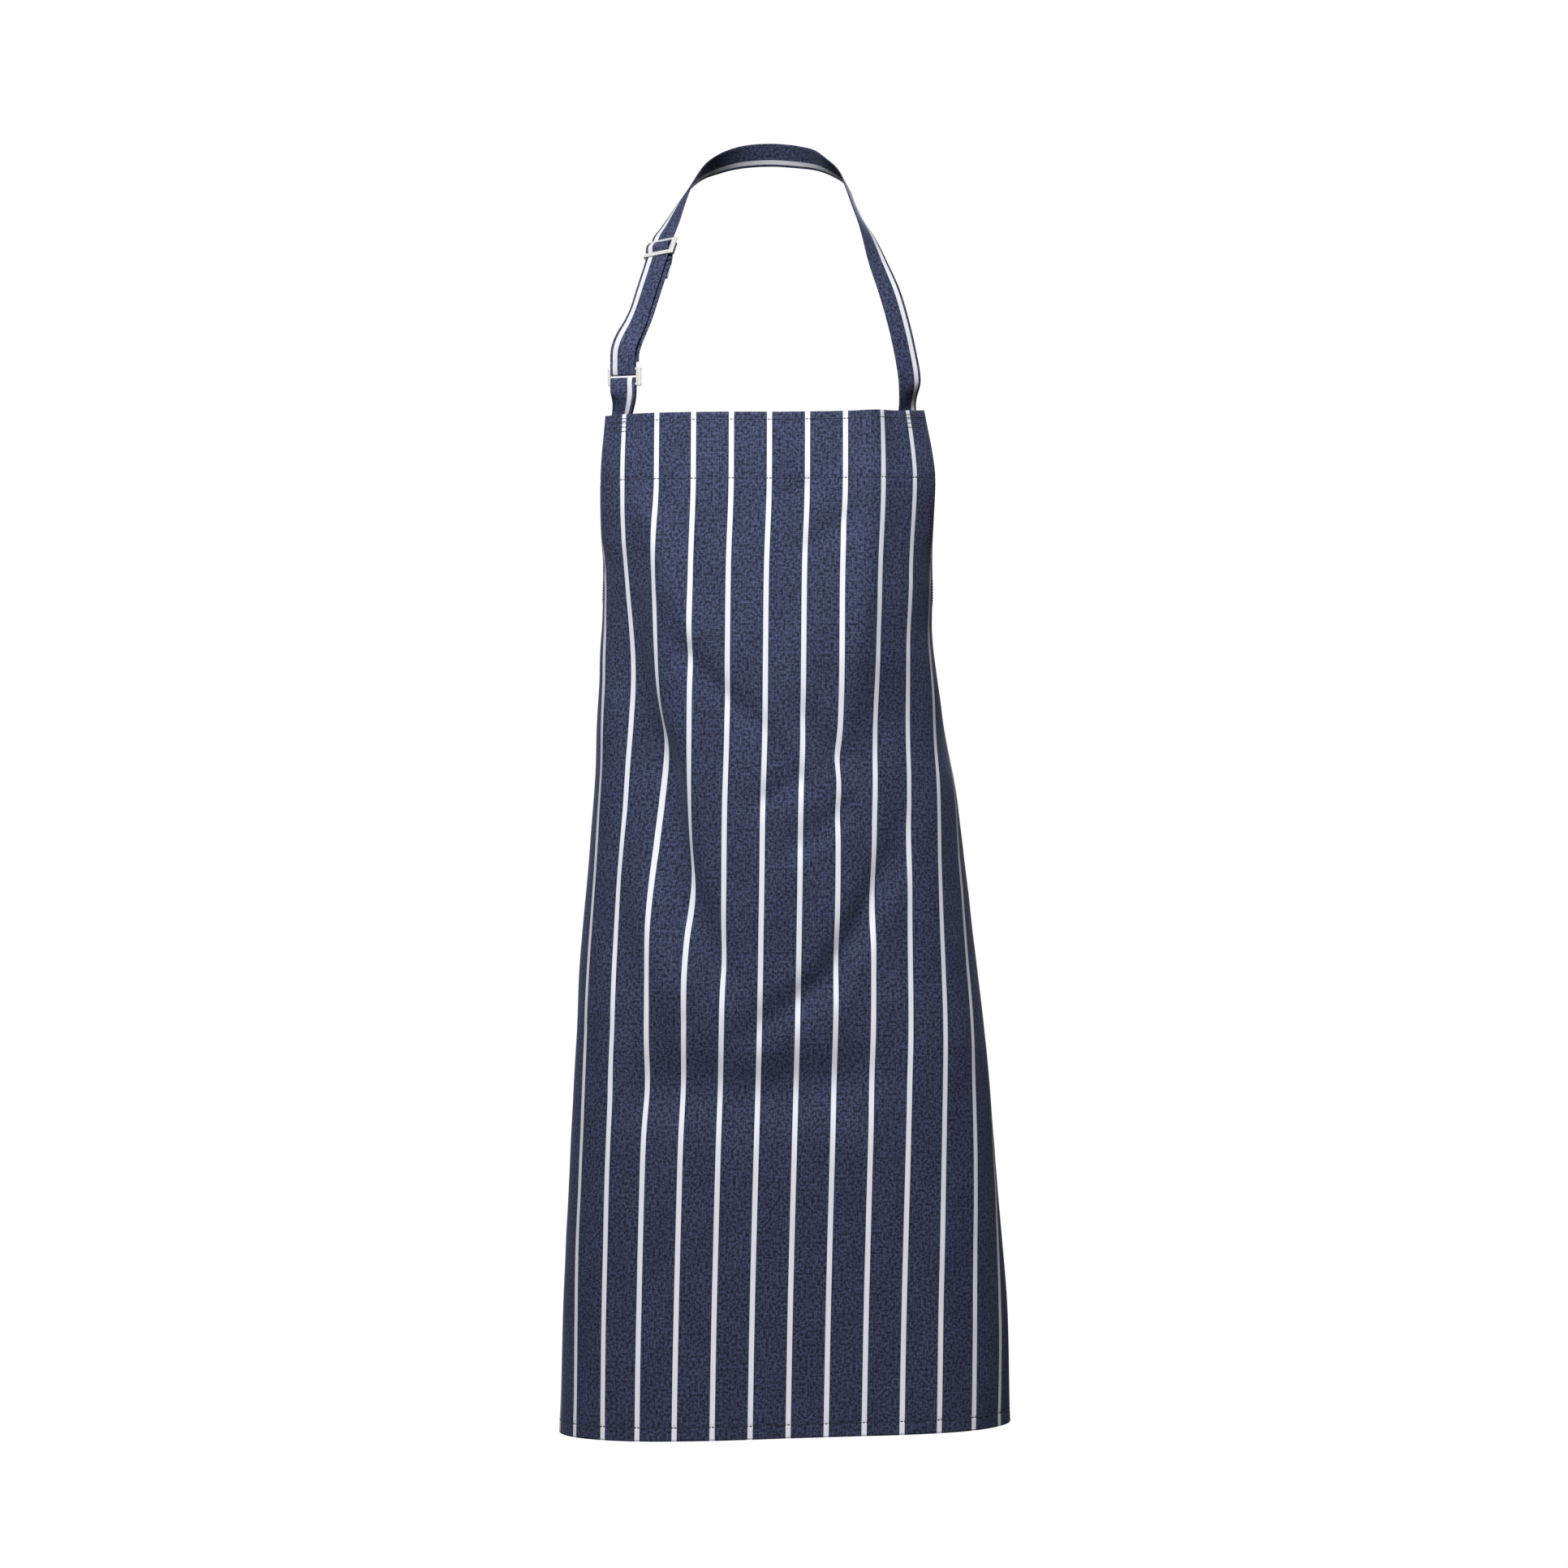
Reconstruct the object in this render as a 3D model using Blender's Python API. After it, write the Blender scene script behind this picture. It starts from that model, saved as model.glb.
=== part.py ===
"""Striped butcher apron with an adjustable neck strap, worn shape, tied in a bow behind.

Metres, +Z up. The origin is where the neck strap rests on the back of the neck.
The front of the apron faces -Y and +X is to the right when looking at the front.
"""

import math

import bmesh
import bpy
import numpy as np

# Cutting pattern, laid flat
PITCH = 0.03555  # from one woven stripe to the next
HALF_WIDTH = 10 * PITCH  # half the width from the waist down
HALF_BIB = 4.78 * PITCH
LENGTH = 0.965  # bib top to bottom edge
WAIST = 0.262  # from the bib top down to the corners that carry the ties
ARMHOLE_POWER = 4.0
FACING = 0.0635  # depth of the bib's turned top
SIDE_HEM = 0.010
BOTTOM_HEM = 0.0135
HEM_RISE = 0.0058  # how much the cloth takes up over its length; more on the +X side
CLOTH = 0.0008  # thickness of every cloth layer
GAP = 0.0003

# Worn shape, by distance down from the bib top
TOP_Z = -0.268
LEVELS = (0.0, 0.062, 0.145, 0.22, 0.30, 0.37, 0.46, 0.60, 0.735, 0.85, 0.965)
FORM_HALF = (0.1535, 0.158, 0.156, 0.157, 0.165, 0.174, 0.183, 0.195, 0.2045, 0.2115, 0.2155)
FORM_CENTRE = (-0.0045, -0.004, -0.002, 0.000, 0.0025, 0.0055, 0.009, 0.0115, 0.0125, 0.014, 0.0145)
STRIPE_DRIFT = (-0.13, -0.11, 0.02, 0.10, 0.19, 0.33, 0.46, 0.60, 0.73, 0.85, 0.92)
FRONT_Y = (-0.184, -0.189, -0.194, -0.196, -0.195, -0.194, -0.193, -0.190, -0.186, -0.183, -0.180)
ROUNDING = (2.2, 2.25, 2.3, 2.2, 2.0, 2.0, 2.2, 3.0, 3.3, 3.2, 3.0)
WRAP_DEGREES = (150, 150, 150, 152, 152, 151, 150, 150, 150, 150, 150)

# Folds of the cloth: each has a width in stripes and a path of (stripes across, distance down, degrees)
FOLDS = (
    (0.42, ((-3.6, 0.12, 0), (-3.6, 0.18, -12), (-3.5, 0.24, -24), (-3.2, 0.28, -26), (-2.6, 0.33, -30),
            (-2.3, 0.41, -22), (-1.8, 0.465, -15), (-1.2, 0.51, -9), (-0.8, 0.56, 0))),
    (0.50, ((-4.7, 0.13, 0), (-4.7, 0.19, 12), (-4.6, 0.24, 26), (-4.4, 0.29, 26), (-4.2, 0.34, 20),
            (-4.2, 0.42, 12), (-4.2, 0.50, 8), (-4.2, 0.58, 0))),
    (0.50, ((1.4, 0.23, 0), (1.6, 0.28, 10), (1.9, 0.32, 14), (2.2, 0.36, 10), (2.5, 0.46, 10),
            (2.6, 0.52, 10), (2.6, 0.60, 0))),
    (0.45, ((3.2, 0.16, 0), (3.1, 0.22, 10), (2.8, 0.28, 10), (2.8, 0.34, 0))),
    (0.50, ((4.5, 0.20, 0), (4.5, 0.28, -10), (4.6, 0.36, -6), (4.6, 0.42, 0))),
    (0.50, ((3.1, -0.01, 18), (3.2, 0.03, 8), (3.2, 0.06, 0))),
)

# Neck strap, ring and slider
STRAP = 0.0254
STRAP_THICK = 0.0009
BAR = 0.0024
WINDOW = 0.0260  # clear width inside the ring and the slider
RING_TALL = 0.0165
RING_AT = np.array((-0.1372, -0.1600, -0.2325))
RING_FACE = np.array((-0.38, -0.925, 0.0))
SLIDER_AT = np.array((-0.1047, -0.1060, -0.1054))
SLIDE_DOWN = np.array((-0.235, -0.500, -0.8335))
SLIDE_FACE = np.array((-0.506, -0.669, 0.544))
SLIDER_TALL = 0.0190
BLADE = 0.0054  # width of the flat blade on the inner side of the ring and the slider
NARROW_SIDE = 0.0026  # width of their other side
RETURN_BACK = 0.0034  # how far the strap's return layer lies behind the main one
JOIN_GAP = 0.0012

# Waist ties and the bow
TIE = 0.0254
KNOT_Z = -0.548
KNOT = (0.030, 0.026, 0.018)  # across, down, deep
BOW_REACH = 0.105
TAIL_LENGTH = 0.44
TAILS_APART = 0.0025  # how far each tail hangs before or behind the middle of the pair
TAILS_BACK = 0.0035  # how far that middle is behind the knot's middle
TAIL_START = 0.0065  # how far below the knot each tail begins

ROWS = (
    0, 0.0135, 0.03, 0.047, FACING, 0.085, 0.108, 0.132, 0.156, 0.178, 0.197, 0.213, 0.227,
    0.239, 0.249, 0.257, WAIST, 0.285, 0.31, 0.34, 0.37, 0.405, 0.445, 0.49, 0.54, 0.59,
    0.64, 0.69, 0.74, 0.79, 0.84, 0.89, LENGTH - BOTTOM_HEM - 0.008, LENGTH - BOTTOM_HEM, LENGTH,
)
COLUMNS = 36


def smooth_between(x, rows, values):
    """A cubic through the values that keeps to their rises and falls."""
    rows, values = np.asarray(rows, float), np.asarray(values, float)
    steps = np.diff(values) / np.diff(rows)
    slopes = np.zeros(len(rows))
    slopes[0], slopes[-1] = steps[0], steps[-1]
    for k in range(1, len(rows) - 1):
        a, b = steps[k - 1], steps[k]
        slopes[k] = 0 if a * b <= 0 else 2 * a * b / (a + b)
    x = min(max(x, rows[0]), rows[-1])
    k = min(int(np.searchsorted(rows, x, "right")) - 1, len(rows) - 2)
    h = rows[k + 1] - rows[k]
    t = (x - rows[k]) / h
    return float(
        (2 * t**3 - 3 * t**2 + 1) * values[k]
        + (t**3 - 2 * t**2 + t) * h * slopes[k]
        + (3 * t**2 - 2 * t**3) * values[k + 1]
        + (t**3 - t**2) * h * slopes[k + 1]
    )


def unit(v):
    v = np.asarray(v, float)
    return v / np.linalg.norm(v)


def half_width(v):
    """Half the flat width of the cloth at a distance v below the bib top."""
    if v >= WAIST:
        return HALF_WIDTH
    return HALF_BIB + (HALF_WIDTH - HALF_BIB) * (v / WAIST) ** ARMHOLE_POWER


def turn_angles(across, side_point, rounding, most):
    """How far the cloth has turned from facing front, in degrees, at distances across."""
    u = np.abs(across) / side_point
    front = 90 * np.minimum(u, 1) ** rounding
    rate = 90 * rounding / (most - 90)
    behind = (most - 90) * (1 - np.exp(-rate * np.maximum(u - 1, 0)))
    return np.sign(across) * (front + behind)


def fold_angles(across, v):
    total = np.zeros(len(across))
    for width, path in FOLDS:
        stripes, downs, degrees = zip(*path)
        if downs[0] < v < downs[-1]:
            middle = smooth_between(v, downs, stripes) * PITCH
            angle = smooth_between(v, downs, degrees)
            total += angle * np.exp(-(((across - middle) / (width * PITCH)) ** 2))
    return total


def cloth_row(v, across):
    """World points of the cloth's outer face at distance v down, at flat distances across."""
    half, centre, drift, front, rounding, most = (
        smooth_between(v, LEVELS, values)
        for values in (FORM_HALF, FORM_CENTRE, STRIPE_DRIFT, FRONT_Y, ROUNDING, WRAP_DEGREES)
    )
    drift *= PITCH
    reach = half_width(v)
    low, high = 0.12, 0.40
    for _ in range(40):
        side_point = (low + high) / 2
        u = np.linspace(0, min(reach, side_point), 200)
        angles = np.radians(turn_angles(u, side_point, rounding, most))
        if np.sum((np.cos(angles[1:]) + np.cos(angles[:-1])) / 2) * (u[1] - u[0]) > half:
            high = side_point
        else:
            low = side_point
    dense = np.linspace(-HALF_WIDTH - 0.01, HALF_WIDTH + 0.01, 1201)
    angles = turn_angles(dense - drift, side_point, rounding, most) + fold_angles(dense, v)
    cos, sin = np.cos(np.radians(angles)), np.sin(np.radians(angles))
    step = dense[1] - dense[0]
    x = np.concatenate([[0], np.cumsum((cos[1:] + cos[:-1]) / 2) * step])
    y = np.concatenate([[0], np.cumsum((sin[1:] + sin[:-1]) / 2) * step])
    across = np.asarray(across, float)
    x0, y0 = np.interp(drift, dense, x), np.interp(drift, dense, y)
    lift = 0.007 * np.clip(across / HALF_BIB, 0, 1) ** 2 * math.exp(-((v / 0.08) ** 2))
    lift += HEM_RISE * (1 + 1.1 * np.tanh(across / 0.2)) * (v / LENGTH) ** 2
    return np.stack(
        [
            centre + np.interp(across, dense, x) - x0,
            front + np.interp(across, dense, y) - y0,
            np.full(len(across), TOP_Z - v) + lift,
        ],
        axis=1,
    )


def cloth_grid(rows, columns_at):
    """Points and outward normals of the cloth for each distance down in rows."""
    step = 0.002
    points, normals = [], []
    for v in rows:
        across = columns_at(v)
        here = cloth_row(v, across)
        sideways = cloth_row(v, across + step) - cloth_row(v, across - step)
        above, below = max(v - step, 0), min(v + step, LENGTH)
        down = cloth_row(below, across) - cloth_row(above, across)
        n = np.cross(down, sideways)
        points.append(here)
        normals.append(n / np.linalg.norm(n, axis=1)[:, None])
    return np.array(points), np.array(normals)


def make_object(name, vertices, faces, colour, roughness, metallic=0.0, smooth=True):
    mesh = bpy.data.meshes.new(name)
    mesh.from_pydata([tuple(map(float, v)) for v in vertices], [], faces)
    bm = bmesh.new()
    bm.from_mesh(mesh)
    bmesh.ops.recalc_face_normals(bm, faces=bm.faces)
    bm.to_mesh(mesh)
    bm.free()
    for polygon in mesh.polygons:
        polygon.use_smooth = smooth
    material = bpy.data.materials.new(name)
    material.use_nodes = True
    shader = material.node_tree.nodes["Principled BSDF"]
    shader.inputs["Base Color"].default_value = (*colour, 1)
    shader.inputs["Roughness"].default_value = roughness
    shader.inputs["Metallic"].default_value = metallic
    mesh.materials.append(material)
    made = bpy.data.objects.new(name, mesh)
    bpy.context.collection.objects.link(made)
    return made


NAVY = (0.035, 0.045, 0.095)
PALE = (0.75, 0.76, 0.86)
METAL = (0.80, 0.79, 0.77)


def layer(name, points, normals, behind, thick=CLOTH, colour=NAVY):
    """A closed sheet whose outer face lies at a distance behind the cloth's outer face."""
    rows, columns = points.shape[:2]
    outer = points - normals * behind
    inner = points - normals * (behind + thick)
    vertices = np.concatenate([outer.reshape(-1, 3), inner.reshape(-1, 3)])
    count = rows * columns
    faces = []
    for r in range(rows - 1):
        for c in range(columns - 1):
            a, b = r * columns + c, r * columns + c + 1
            d, e = a + columns, b + columns
            for tri in ((a, d, e), (a, e, b)):
                faces.append(tri)
                faces.append(tuple(count + i for i in reversed(tri)))
    rim = [c for c in range(columns)]
    rim += [r * columns + columns - 1 for r in range(1, rows)]
    rim += [(rows - 1) * columns + c for c in range(columns - 2, -1, -1)]
    rim += [r * columns for r in range(rows - 2, 0, -1)]
    for k, a in enumerate(rim):
        b = rim[(k + 1) % len(rim)]
        faces.append((a, b, count + b))
        faces.append((a, count + b, count + a))
    return make_object(name, vertices, faces, colour, 0.9)


def spline(stations, spacing=0.006):
    """Smooth rows of numbers through the stations. The first three are a place in metres."""
    rows = np.asarray(stations, float)
    lengths = np.linalg.norm(np.diff(rows[:, :3], axis=0), axis=1)[:, None]
    slopes = np.diff(rows, axis=0) / lengths
    middle = (slopes[:-1] * lengths[1:] + slopes[1:] * lengths[:-1]) / (lengths[1:] + lengths[:-1])
    tangents = np.vstack([slopes[:1], middle, slopes[-1:]])
    out = []
    for k, (length,) in enumerate(lengths):
        pieces = max(1, round(length / spacing))
        for t in np.arange(pieces) / pieces:
            out.append(
                (2 * t**3 - 3 * t**2 + 1) * rows[k]
                + (t**3 - 2 * t**2 + t) * length * tangents[k]
                + (3 * t**2 - 2 * t**3) * rows[k + 1]
                + (t**3 - t**2) * length * tangents[k + 1]
            )
    out.append(rows[-1])
    return np.array(out)


def frames_along(centres, faces):
    """Unit sideways and face directions at each point of a ribbon's centre line."""
    along = np.gradient(centres, axis=0)
    sides, normals = [], []
    for t, n in zip(along, faces):
        t = unit(t)
        side = unit(np.cross(t, n))
        sides.append(side)
        normals.append(np.cross(side, t))
    return np.array(sides), np.array(normals)


def ribbon(name, centres, faces, width=STRAP, thick=STRAP_THICK, colour=NAVY):
    """A flat closed band along centres whose outer face looks along faces."""
    centres = np.asarray(centres, float)
    sides, normals = frames_along(centres, faces)
    vertices = []
    for c, s, n in zip(centres, sides, normals):
        for a, b in ((1, 1), (-1, 1), (-1, -1), (1, -1)):
            vertices.append(c + s * a * width / 2 + n * b * thick / 2)
    quads = []
    for k in range(len(centres) - 1):
        for a in range(4):
            b = (a + 1) % 4
            quads.append((4 * k + a, 4 * k + b, 4 * k + 4 + b))
            quads.append((4 * k + a, 4 * k + 4 + b, 4 * k + 4 + a))
    last = 4 * (len(centres) - 1)
    quads += [(0, 1, 2), (0, 2, 3), (last, last + 1, last + 2), (last, last + 2, last + 3)]
    return make_object(name, vertices, quads, colour, 0.9)


def box_at(name, centre, side, up, face, size, colour, roughness=0.9, metallic=0.0, bevel=0.0):
    """A box with its own axes, optionally with bevelled edges."""
    vertices = [
        centre + side * a * size[0] / 2 + up * b * size[1] / 2 + face * c * size[2] / 2
        for a in (-1, 1)
        for b in (-1, 1)
        for c in (-1, 1)
    ]
    faces = [(0, 1, 3, 2), (4, 6, 7, 5), (0, 4, 5, 1), (2, 3, 7, 6), (0, 2, 6, 4), (1, 5, 7, 3)]
    made = make_object(name, vertices, faces, colour, roughness, metallic, smooth=False)
    if bevel:
        rounding = made.modifiers.new("rounding", "BEVEL")
        rounding.width = bevel
        rounding.segments = 3
        rounding.limit_method = "NONE"
        for polygon in made.data.polygons:
            polygon.use_smooth = True
    return made


def metal_piece(name, centre, axes, size, bevel):
    return box_at(name, centre, *axes, size, METAL, 0.3, 1.0, bevel)


def join_all(name, pieces):
    """One closed body from overlapping pieces."""
    base = pieces[0]
    base.name = name
    for piece in pieces[1:]:
        joined = base.modifiers.new("joined", "BOOLEAN")
        joined.operation = "UNION"
        joined.solver = "EXACT"
        joined.object = piece
        piece.hide_render = True
        piece.display_type = "WIRE"
    return base


def arc_about(centre, start, radius, degrees, steps, lengthwise):
    """Points and outward directions of a turn in the plane of the two directions in lengthwise."""
    points, out = [], []
    for k in range(steps + 1):
        a = math.radians(start + degrees * k / steps)
        direction = lengthwise[0] * math.cos(a) + lengthwise[1] * math.sin(a)
        points.append(centre + direction * radius)
        out.append(direction)
    return points, out


# ---------------------------------------------------------------------------------- cloth body


def panel_columns(v):
    """Flat distances across: both hem lines, with even steps between them."""
    w = half_width(v)
    inner = np.linspace(-(w - SIDE_HEM), w - SIDE_HEM, COLUMNS - 1)
    return np.concatenate([[-w], inner, [w]])


def between_rows(low, high):
    return [v for v in ROWS if low - 1e-9 <= v <= high + 1e-9]


def build_cloth():
    points, normals = cloth_grid(ROWS, panel_columns)
    layer("body_panel", points, normals, 0)
    second = CLOTH + GAP

    rows = between_rows(0, FACING)
    n = len(rows)
    layer("bib_facing", points[:n], normals[:n], second)

    first = ROWS.index(0.085)
    waist = ROWS.index(WAIST)
    last = ROWS.index(LENGTH - BOTTOM_HEM - 0.008)
    for side, cols in (("left", slice(0, 2)), ("right", slice(-2, None))):
        part = (slice(first, waist), cols)
        layer(f"armhole_hem_{side}", points[part], normals[part], second)
        part = (slice(waist, last + 1), cols)
        layer(f"side_hem_{side}", points[part], normals[part], second)

    bottom = ROWS.index(LENGTH - BOTTOM_HEM)
    layer("bottom_hem", points[bottom:], normals[bottom:], second)


# --------------------------------------------------------------------------- strap and hardware

# Neck strap stations: centre X, Y, Z in millimetres, then the way its outer face looks
LEFT_STRAP = (
    (-95, -88, -80, -0.62, -0.50, 0.60),
    (-89, -79, -66, -0.70, -0.30, 0.62),
    (-83, -69, -52, -0.74, -0.12, 0.64),
    (-75, -56, -37, -0.72, 0.08, 0.66),
    (-62, -38, -21, -0.58, 0.38, 0.68),
    (-48, -23, -12, -0.36, 0.64, 0.64),
    (-27, -7, -4, -0.16, 0.78, 0.61),
    (0, 0, -1, 0.00, 0.80, 0.60),
    (27, -8, -4, 0.16, 0.78, 0.61),
    (44, -22, -9, 0.34, 0.66, 0.64),
    (58, -42, -19, 0.55, 0.44, 0.70),
    (72, -78, -38, 0.82, 0.05, 0.56),
    (77, -97, -54, 0.90, -0.15, 0.40),
    (83, -112, -71, 0.91, -0.30, 0.30),
    (92, -127, -92, 0.84, -0.48, 0.26),
    (103, -139, -124, 0.66, -0.72, 0.20),
    (113, -146, -151, 0.55, -0.82, 0.16),
    (121, -150, -179, 0.54, -0.83, 0.12),
    (127, -151, -205, 0.54, -0.83, 0.08),
    (132, -150, -237, 0.54, -0.84, 0.03),
)


def behind_cloth(stripe, v, depth):
    """A point and outward normal behind the cloth at a number of stripes across."""
    points, normals = cloth_grid([v], lambda _: np.array([stripe * PITCH]))
    return points[0, 0] - normals[0, 0] * depth, normals[0, 0]


def build_strap():
    up = -unit(SLIDE_DOWN)
    side = unit(np.cross(up, SLIDE_FACE))
    face = unit(np.cross(side, up))

    ring_face = unit(RING_FACE)
    ring_up = np.array((0.0, 0.0, 1.0))
    ring_side = unit(np.cross(ring_up, ring_face))
    top_bar = RING_AT + ring_up * (RING_TALL - BAR) / 2
    bottom_bar = RING_AT - ring_up * (RING_TALL - BAR) / 2
    wrap = BAR / 2 + STRAP_THICK / 2 + 0.00035

    # Main run from the ring, through the slider, round the neck to the right of the bib
    fold_top = top_bar + ring_up * 0.0085
    start = fold_top + ring_face * wrap + ring_up * JOIN_GAP
    low = SLIDER_AT - up * 0.072
    stations = [(*start, *ring_face), (*(start + ring_up * 0.004), *ring_face)]
    stations.append((*(low - up * 0.016 + face * 0.0008), *unit(face + ring_face)))
    stations += [(*(SLIDER_AT + up * t), *face) for t in (-0.072, -0.048, -0.024, 0.0, 0.0105, 0.0130)]
    stations += [(x / 1000, y / 1000, z / 1000, a, b, c) for x, y, z, a, b, c in LEFT_STRAP]
    for v in (0.0, 0.022, 0.046):
        p, n = behind_cloth(4.12, v, 0.0046)
        stations.append((*p, *n))
    run = spline(stations)
    ribbon("neck_strap", run[:, :3], run[:, 3:])

    # The strap's turn round the ring's upper bar, which goes with the ring
    points, out = arc_about(top_bar, 0, wrap, -180, 8, (ring_face, ring_up))
    points = [fold_top + ring_face * wrap] + points + [fold_top - ring_face * wrap]
    out = [ring_face] + out + [-ring_face]
    ribbon("strap_fold", points, out)

    # Return layer behind the main run, up to the slider's middle bar
    start = fold_top - ring_face * wrap + ring_up * JOIN_GAP
    stations = [(*start, *ring_face), (*(start + ring_up * 0.004), *ring_face)]
    stations += [
        (*(SLIDER_AT + up * t - face * RETURN_BACK), *face) for t in (-0.084, -0.066, -0.040, -0.0165)
    ]
    run = spline(stations)
    ribbon("strap_return", run[:, :3], run[:, 3:])

    # The strap's end, turned round the middle bar and sewn to itself
    bar_back = RETURN_BACK + 0.0002
    centre = SLIDER_AT - face * bar_back
    lead = [SLIDER_AT + up * t - face * RETURN_BACK for t in (-0.0152, -0.010, -0.0055)]
    turn, turned = arc_about(centre, -40, wrap, 220, 10, (face, up))
    sewn_back = RETURN_BACK + 0.0018
    back = [SLIDER_AT + up * t - face * sewn_back for t in (-0.0040, -0.009, -0.0150)]
    ribbon("strap_end_loop", lead + turn + back, [face] * 3 + turned + [-face] * 3)
    box_at(
        "end_loop_tack", SLIDER_AT - up * 0.0125 - face * (sewn_back + 0.0009),
        side, up, face, (0.020, 0.0022, 0.0005), PALE,
    )

    # Ring: two bars, a narrow side and a flat blade
    bar_long = WINDOW + 0.004
    narrow_at = -(WINDOW + NARROW_SIDE) / 2
    blade_at = (WINDOW + BLADE) / 2
    ring_axes = (ring_side, ring_up, ring_face)
    pieces = [
        ("ring_narrow", RING_AT + ring_side * narrow_at, (NARROW_SIDE, RING_TALL, 0.0028), 0.0009),
        ("ring_upper_bar", top_bar, (bar_long, BAR - 0.0001, BAR - 0.0001), 0.0009),
        ("ring_blade", RING_AT + ring_side * blade_at, (BLADE, RING_TALL + 0.0014, 0.0024), 0.0008),
        ("ring_lower_bar", bottom_bar, (bar_long, BAR - 0.0001, BAR - 0.0001), 0.0009),
    ]
    join_all("ring", [metal_piece(name, at, ring_axes, size, edge) for name, at, size, edge in pieces])

    # Slider: a frame whose middle bar is set back, so the strap runs straight through
    axes = (side, up, face)
    top, bottom = SLIDER_TALL / 2 - 0.0012, -(SLIDER_TALL / 2 - 0.0023)
    pieces = [
        ("slider_narrow", side * narrow_at - face * 0.0014, (NARROW_SIDE, SLIDER_TALL, 0.0064), 0.0008),
        ("slider_upper_bar", up * top + face * 0.0015, (bar_long, 0.0023, 0.0016), 0.0006),
        ("slider_inner", side * blade_at - face * 0.0014 - side * 0.0012, (0.0030, 0.0140, 0.0064), 0.0007),
        ("slider_blade", side * blade_at + face * 0.0011, (BLADE, SLIDER_TALL, 0.0022), 0.0008),
        ("slider_lower_bar", up * bottom + face * 0.0015, (bar_long, 0.0045, 0.0016), 0.0006),
        ("slider_middle_bar", -face * bar_back, (bar_long, 0.0020, 0.0020), 0.0007),
    ]
    pieces = [(name, SLIDER_AT + offset, size, edge) for name, offset, size, edge in pieces]
    join_all("slider", [metal_piece(name, at, axes, size, edge) for name, at, size, edge in pieces])

    # Tab that holds the ring: both ends behind the bib's top left corner
    stripe = -4.22
    front = [behind_cloth(stripe, v, 0.0056) for v in (0.042, 0.020, 0.0)]
    back = [behind_cloth(stripe, v, 0.0072) for v in (0.0, 0.020, 0.042)]
    points, out = arc_about(bottom_bar, 0, wrap, 180, 8, (ring_face, ring_up))
    high = bottom_bar - ring_up * 0.008
    centres = [p for p, _ in front] + [high + ring_face * wrap] + points
    centres += [high - ring_face * wrap] + [p for p, _ in back]
    faces = [n for _, n in front] + [ring_face] + out + [-ring_face] + [-n for _, n in back]
    ribbon("ring_tab", centres, faces)


# -------------------------------------------------------------------------------- ties and bow


def build_ties():
    knot_y = max(behind_cloth(sign * 9.9, WAIST + 0.02, 0)[0][1] for sign in (-1, 1)) + 0.012
    knot = np.array((0.004, knot_y, KNOT_Z))
    back = np.array((0.0, 1.0, 0.0))
    down = np.array((0.0, 0.0, -1.0))
    across = np.array((1.0, 0.0, 0.0))
    box_at("tie_knot", knot, across, down, back, KNOT, NAVY, bevel=0.006)

    for sign, side in ((-1, "left"), (1, "right")):
        stations = []
        for stripe in (9.15, 9.5, 9.85):
            p, n = behind_cloth(sign * stripe, WAIST + 0.020, 0.0050)
            stations.append((*p, *n))
        edge = np.array(stations[-1][:3])
        target = knot + across * sign * (KNOT[0] / 2 + 0.0015)
        for t in (0.35, 0.7):
            p = edge + (target - edge) * t + down * 0.004
            stations.append((*p, *unit(np.array(stations[-1][3:]) * (1 - t) + back * t)))
        stations += [(*(target + across * sign * 0.004), *back), (*target, *back)]
        run = spline(stations)
        ribbon(f"tie_{side}", run[:, :3], run[:, 3:], TIE)

        # Bow loop: out from the knot, round and back, drooping
        droop = math.radians(24)
        out_way = across * sign * math.cos(droop) + down * math.sin(droop)
        loop = []
        for t in np.linspace(0, 1, 21):
            a = 2 * math.pi * t
            r = BOW_REACH * math.sin(a / 2) ** 0.9
            lift = 0.010 * math.sin(a)
            loop.append(knot + out_way * (KNOT[0] / 2 + 0.003 + r) + back * (0.012 + lift))
        facing = frames_from_loop(loop, out_way, back)
        ribbon(f"bow_loop_{side}", loop, facing, TIE)

        # Tail hanging from the knot
        start = knot + across * sign * 0.010 + down * (KNOT[1] / 2 + 0.001)
        tail = []
        for t in np.linspace(0, 1, 17):
            wave = 0.004 * math.sin(2 * math.pi * (1.1 * t + 0.3))
            tail.append(
                start + down * (TAIL_START + TAIL_LENGTH * t * (1 if sign < 0 else 0.93))
                + across * sign * (0.006 + 0.030 * t)
                + back * (wave * min(1, 3 * t) + TAILS_BACK - sign * TAILS_APART)
            )
        ribbon(f"tie_tail_{side}", tail, [back] * len(tail), TIE)

        p, n = behind_cloth(sign * 9.45, WAIST + 0.020, 0.0050 + 0.0012)
        tangent = unit(np.cross(n, down))
        size = (0.016, 0.018, 0.0005)
        box_at(f"tie_tack_{side}", p, tangent, unit(np.cross(n, tangent)), n, size, PALE)


def frames_from_loop(loop, out_way, back):
    loop = np.asarray(loop)
    along = np.gradient(loop, axis=0)
    width_way = unit(np.cross(out_way, back))
    return [unit(np.cross(t, width_way)) for t in along]


def build_tacks():
    for name, stripe in (("tab_tack", -4.22), ("strap_tack", 4.12)):
        p, n = behind_cloth(stripe, 0.0115, -0.0009)
        side = unit(np.cross(np.array((0.0, 0.0, 1.0)), n))
        box_at(name, p, side, unit(np.cross(n, side)), n, (0.019, 0.010, 0.0005), PALE)


for existing in list(bpy.data.objects):
    bpy.data.objects.remove(existing, do_unlink=True)

build_cloth()
build_strap()
build_ties()
build_tacks()
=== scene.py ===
"""Looks of the striped butcher apron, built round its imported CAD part."""

import math

import bmesh
import bpy
import numpy as np
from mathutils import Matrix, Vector, noise


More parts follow.
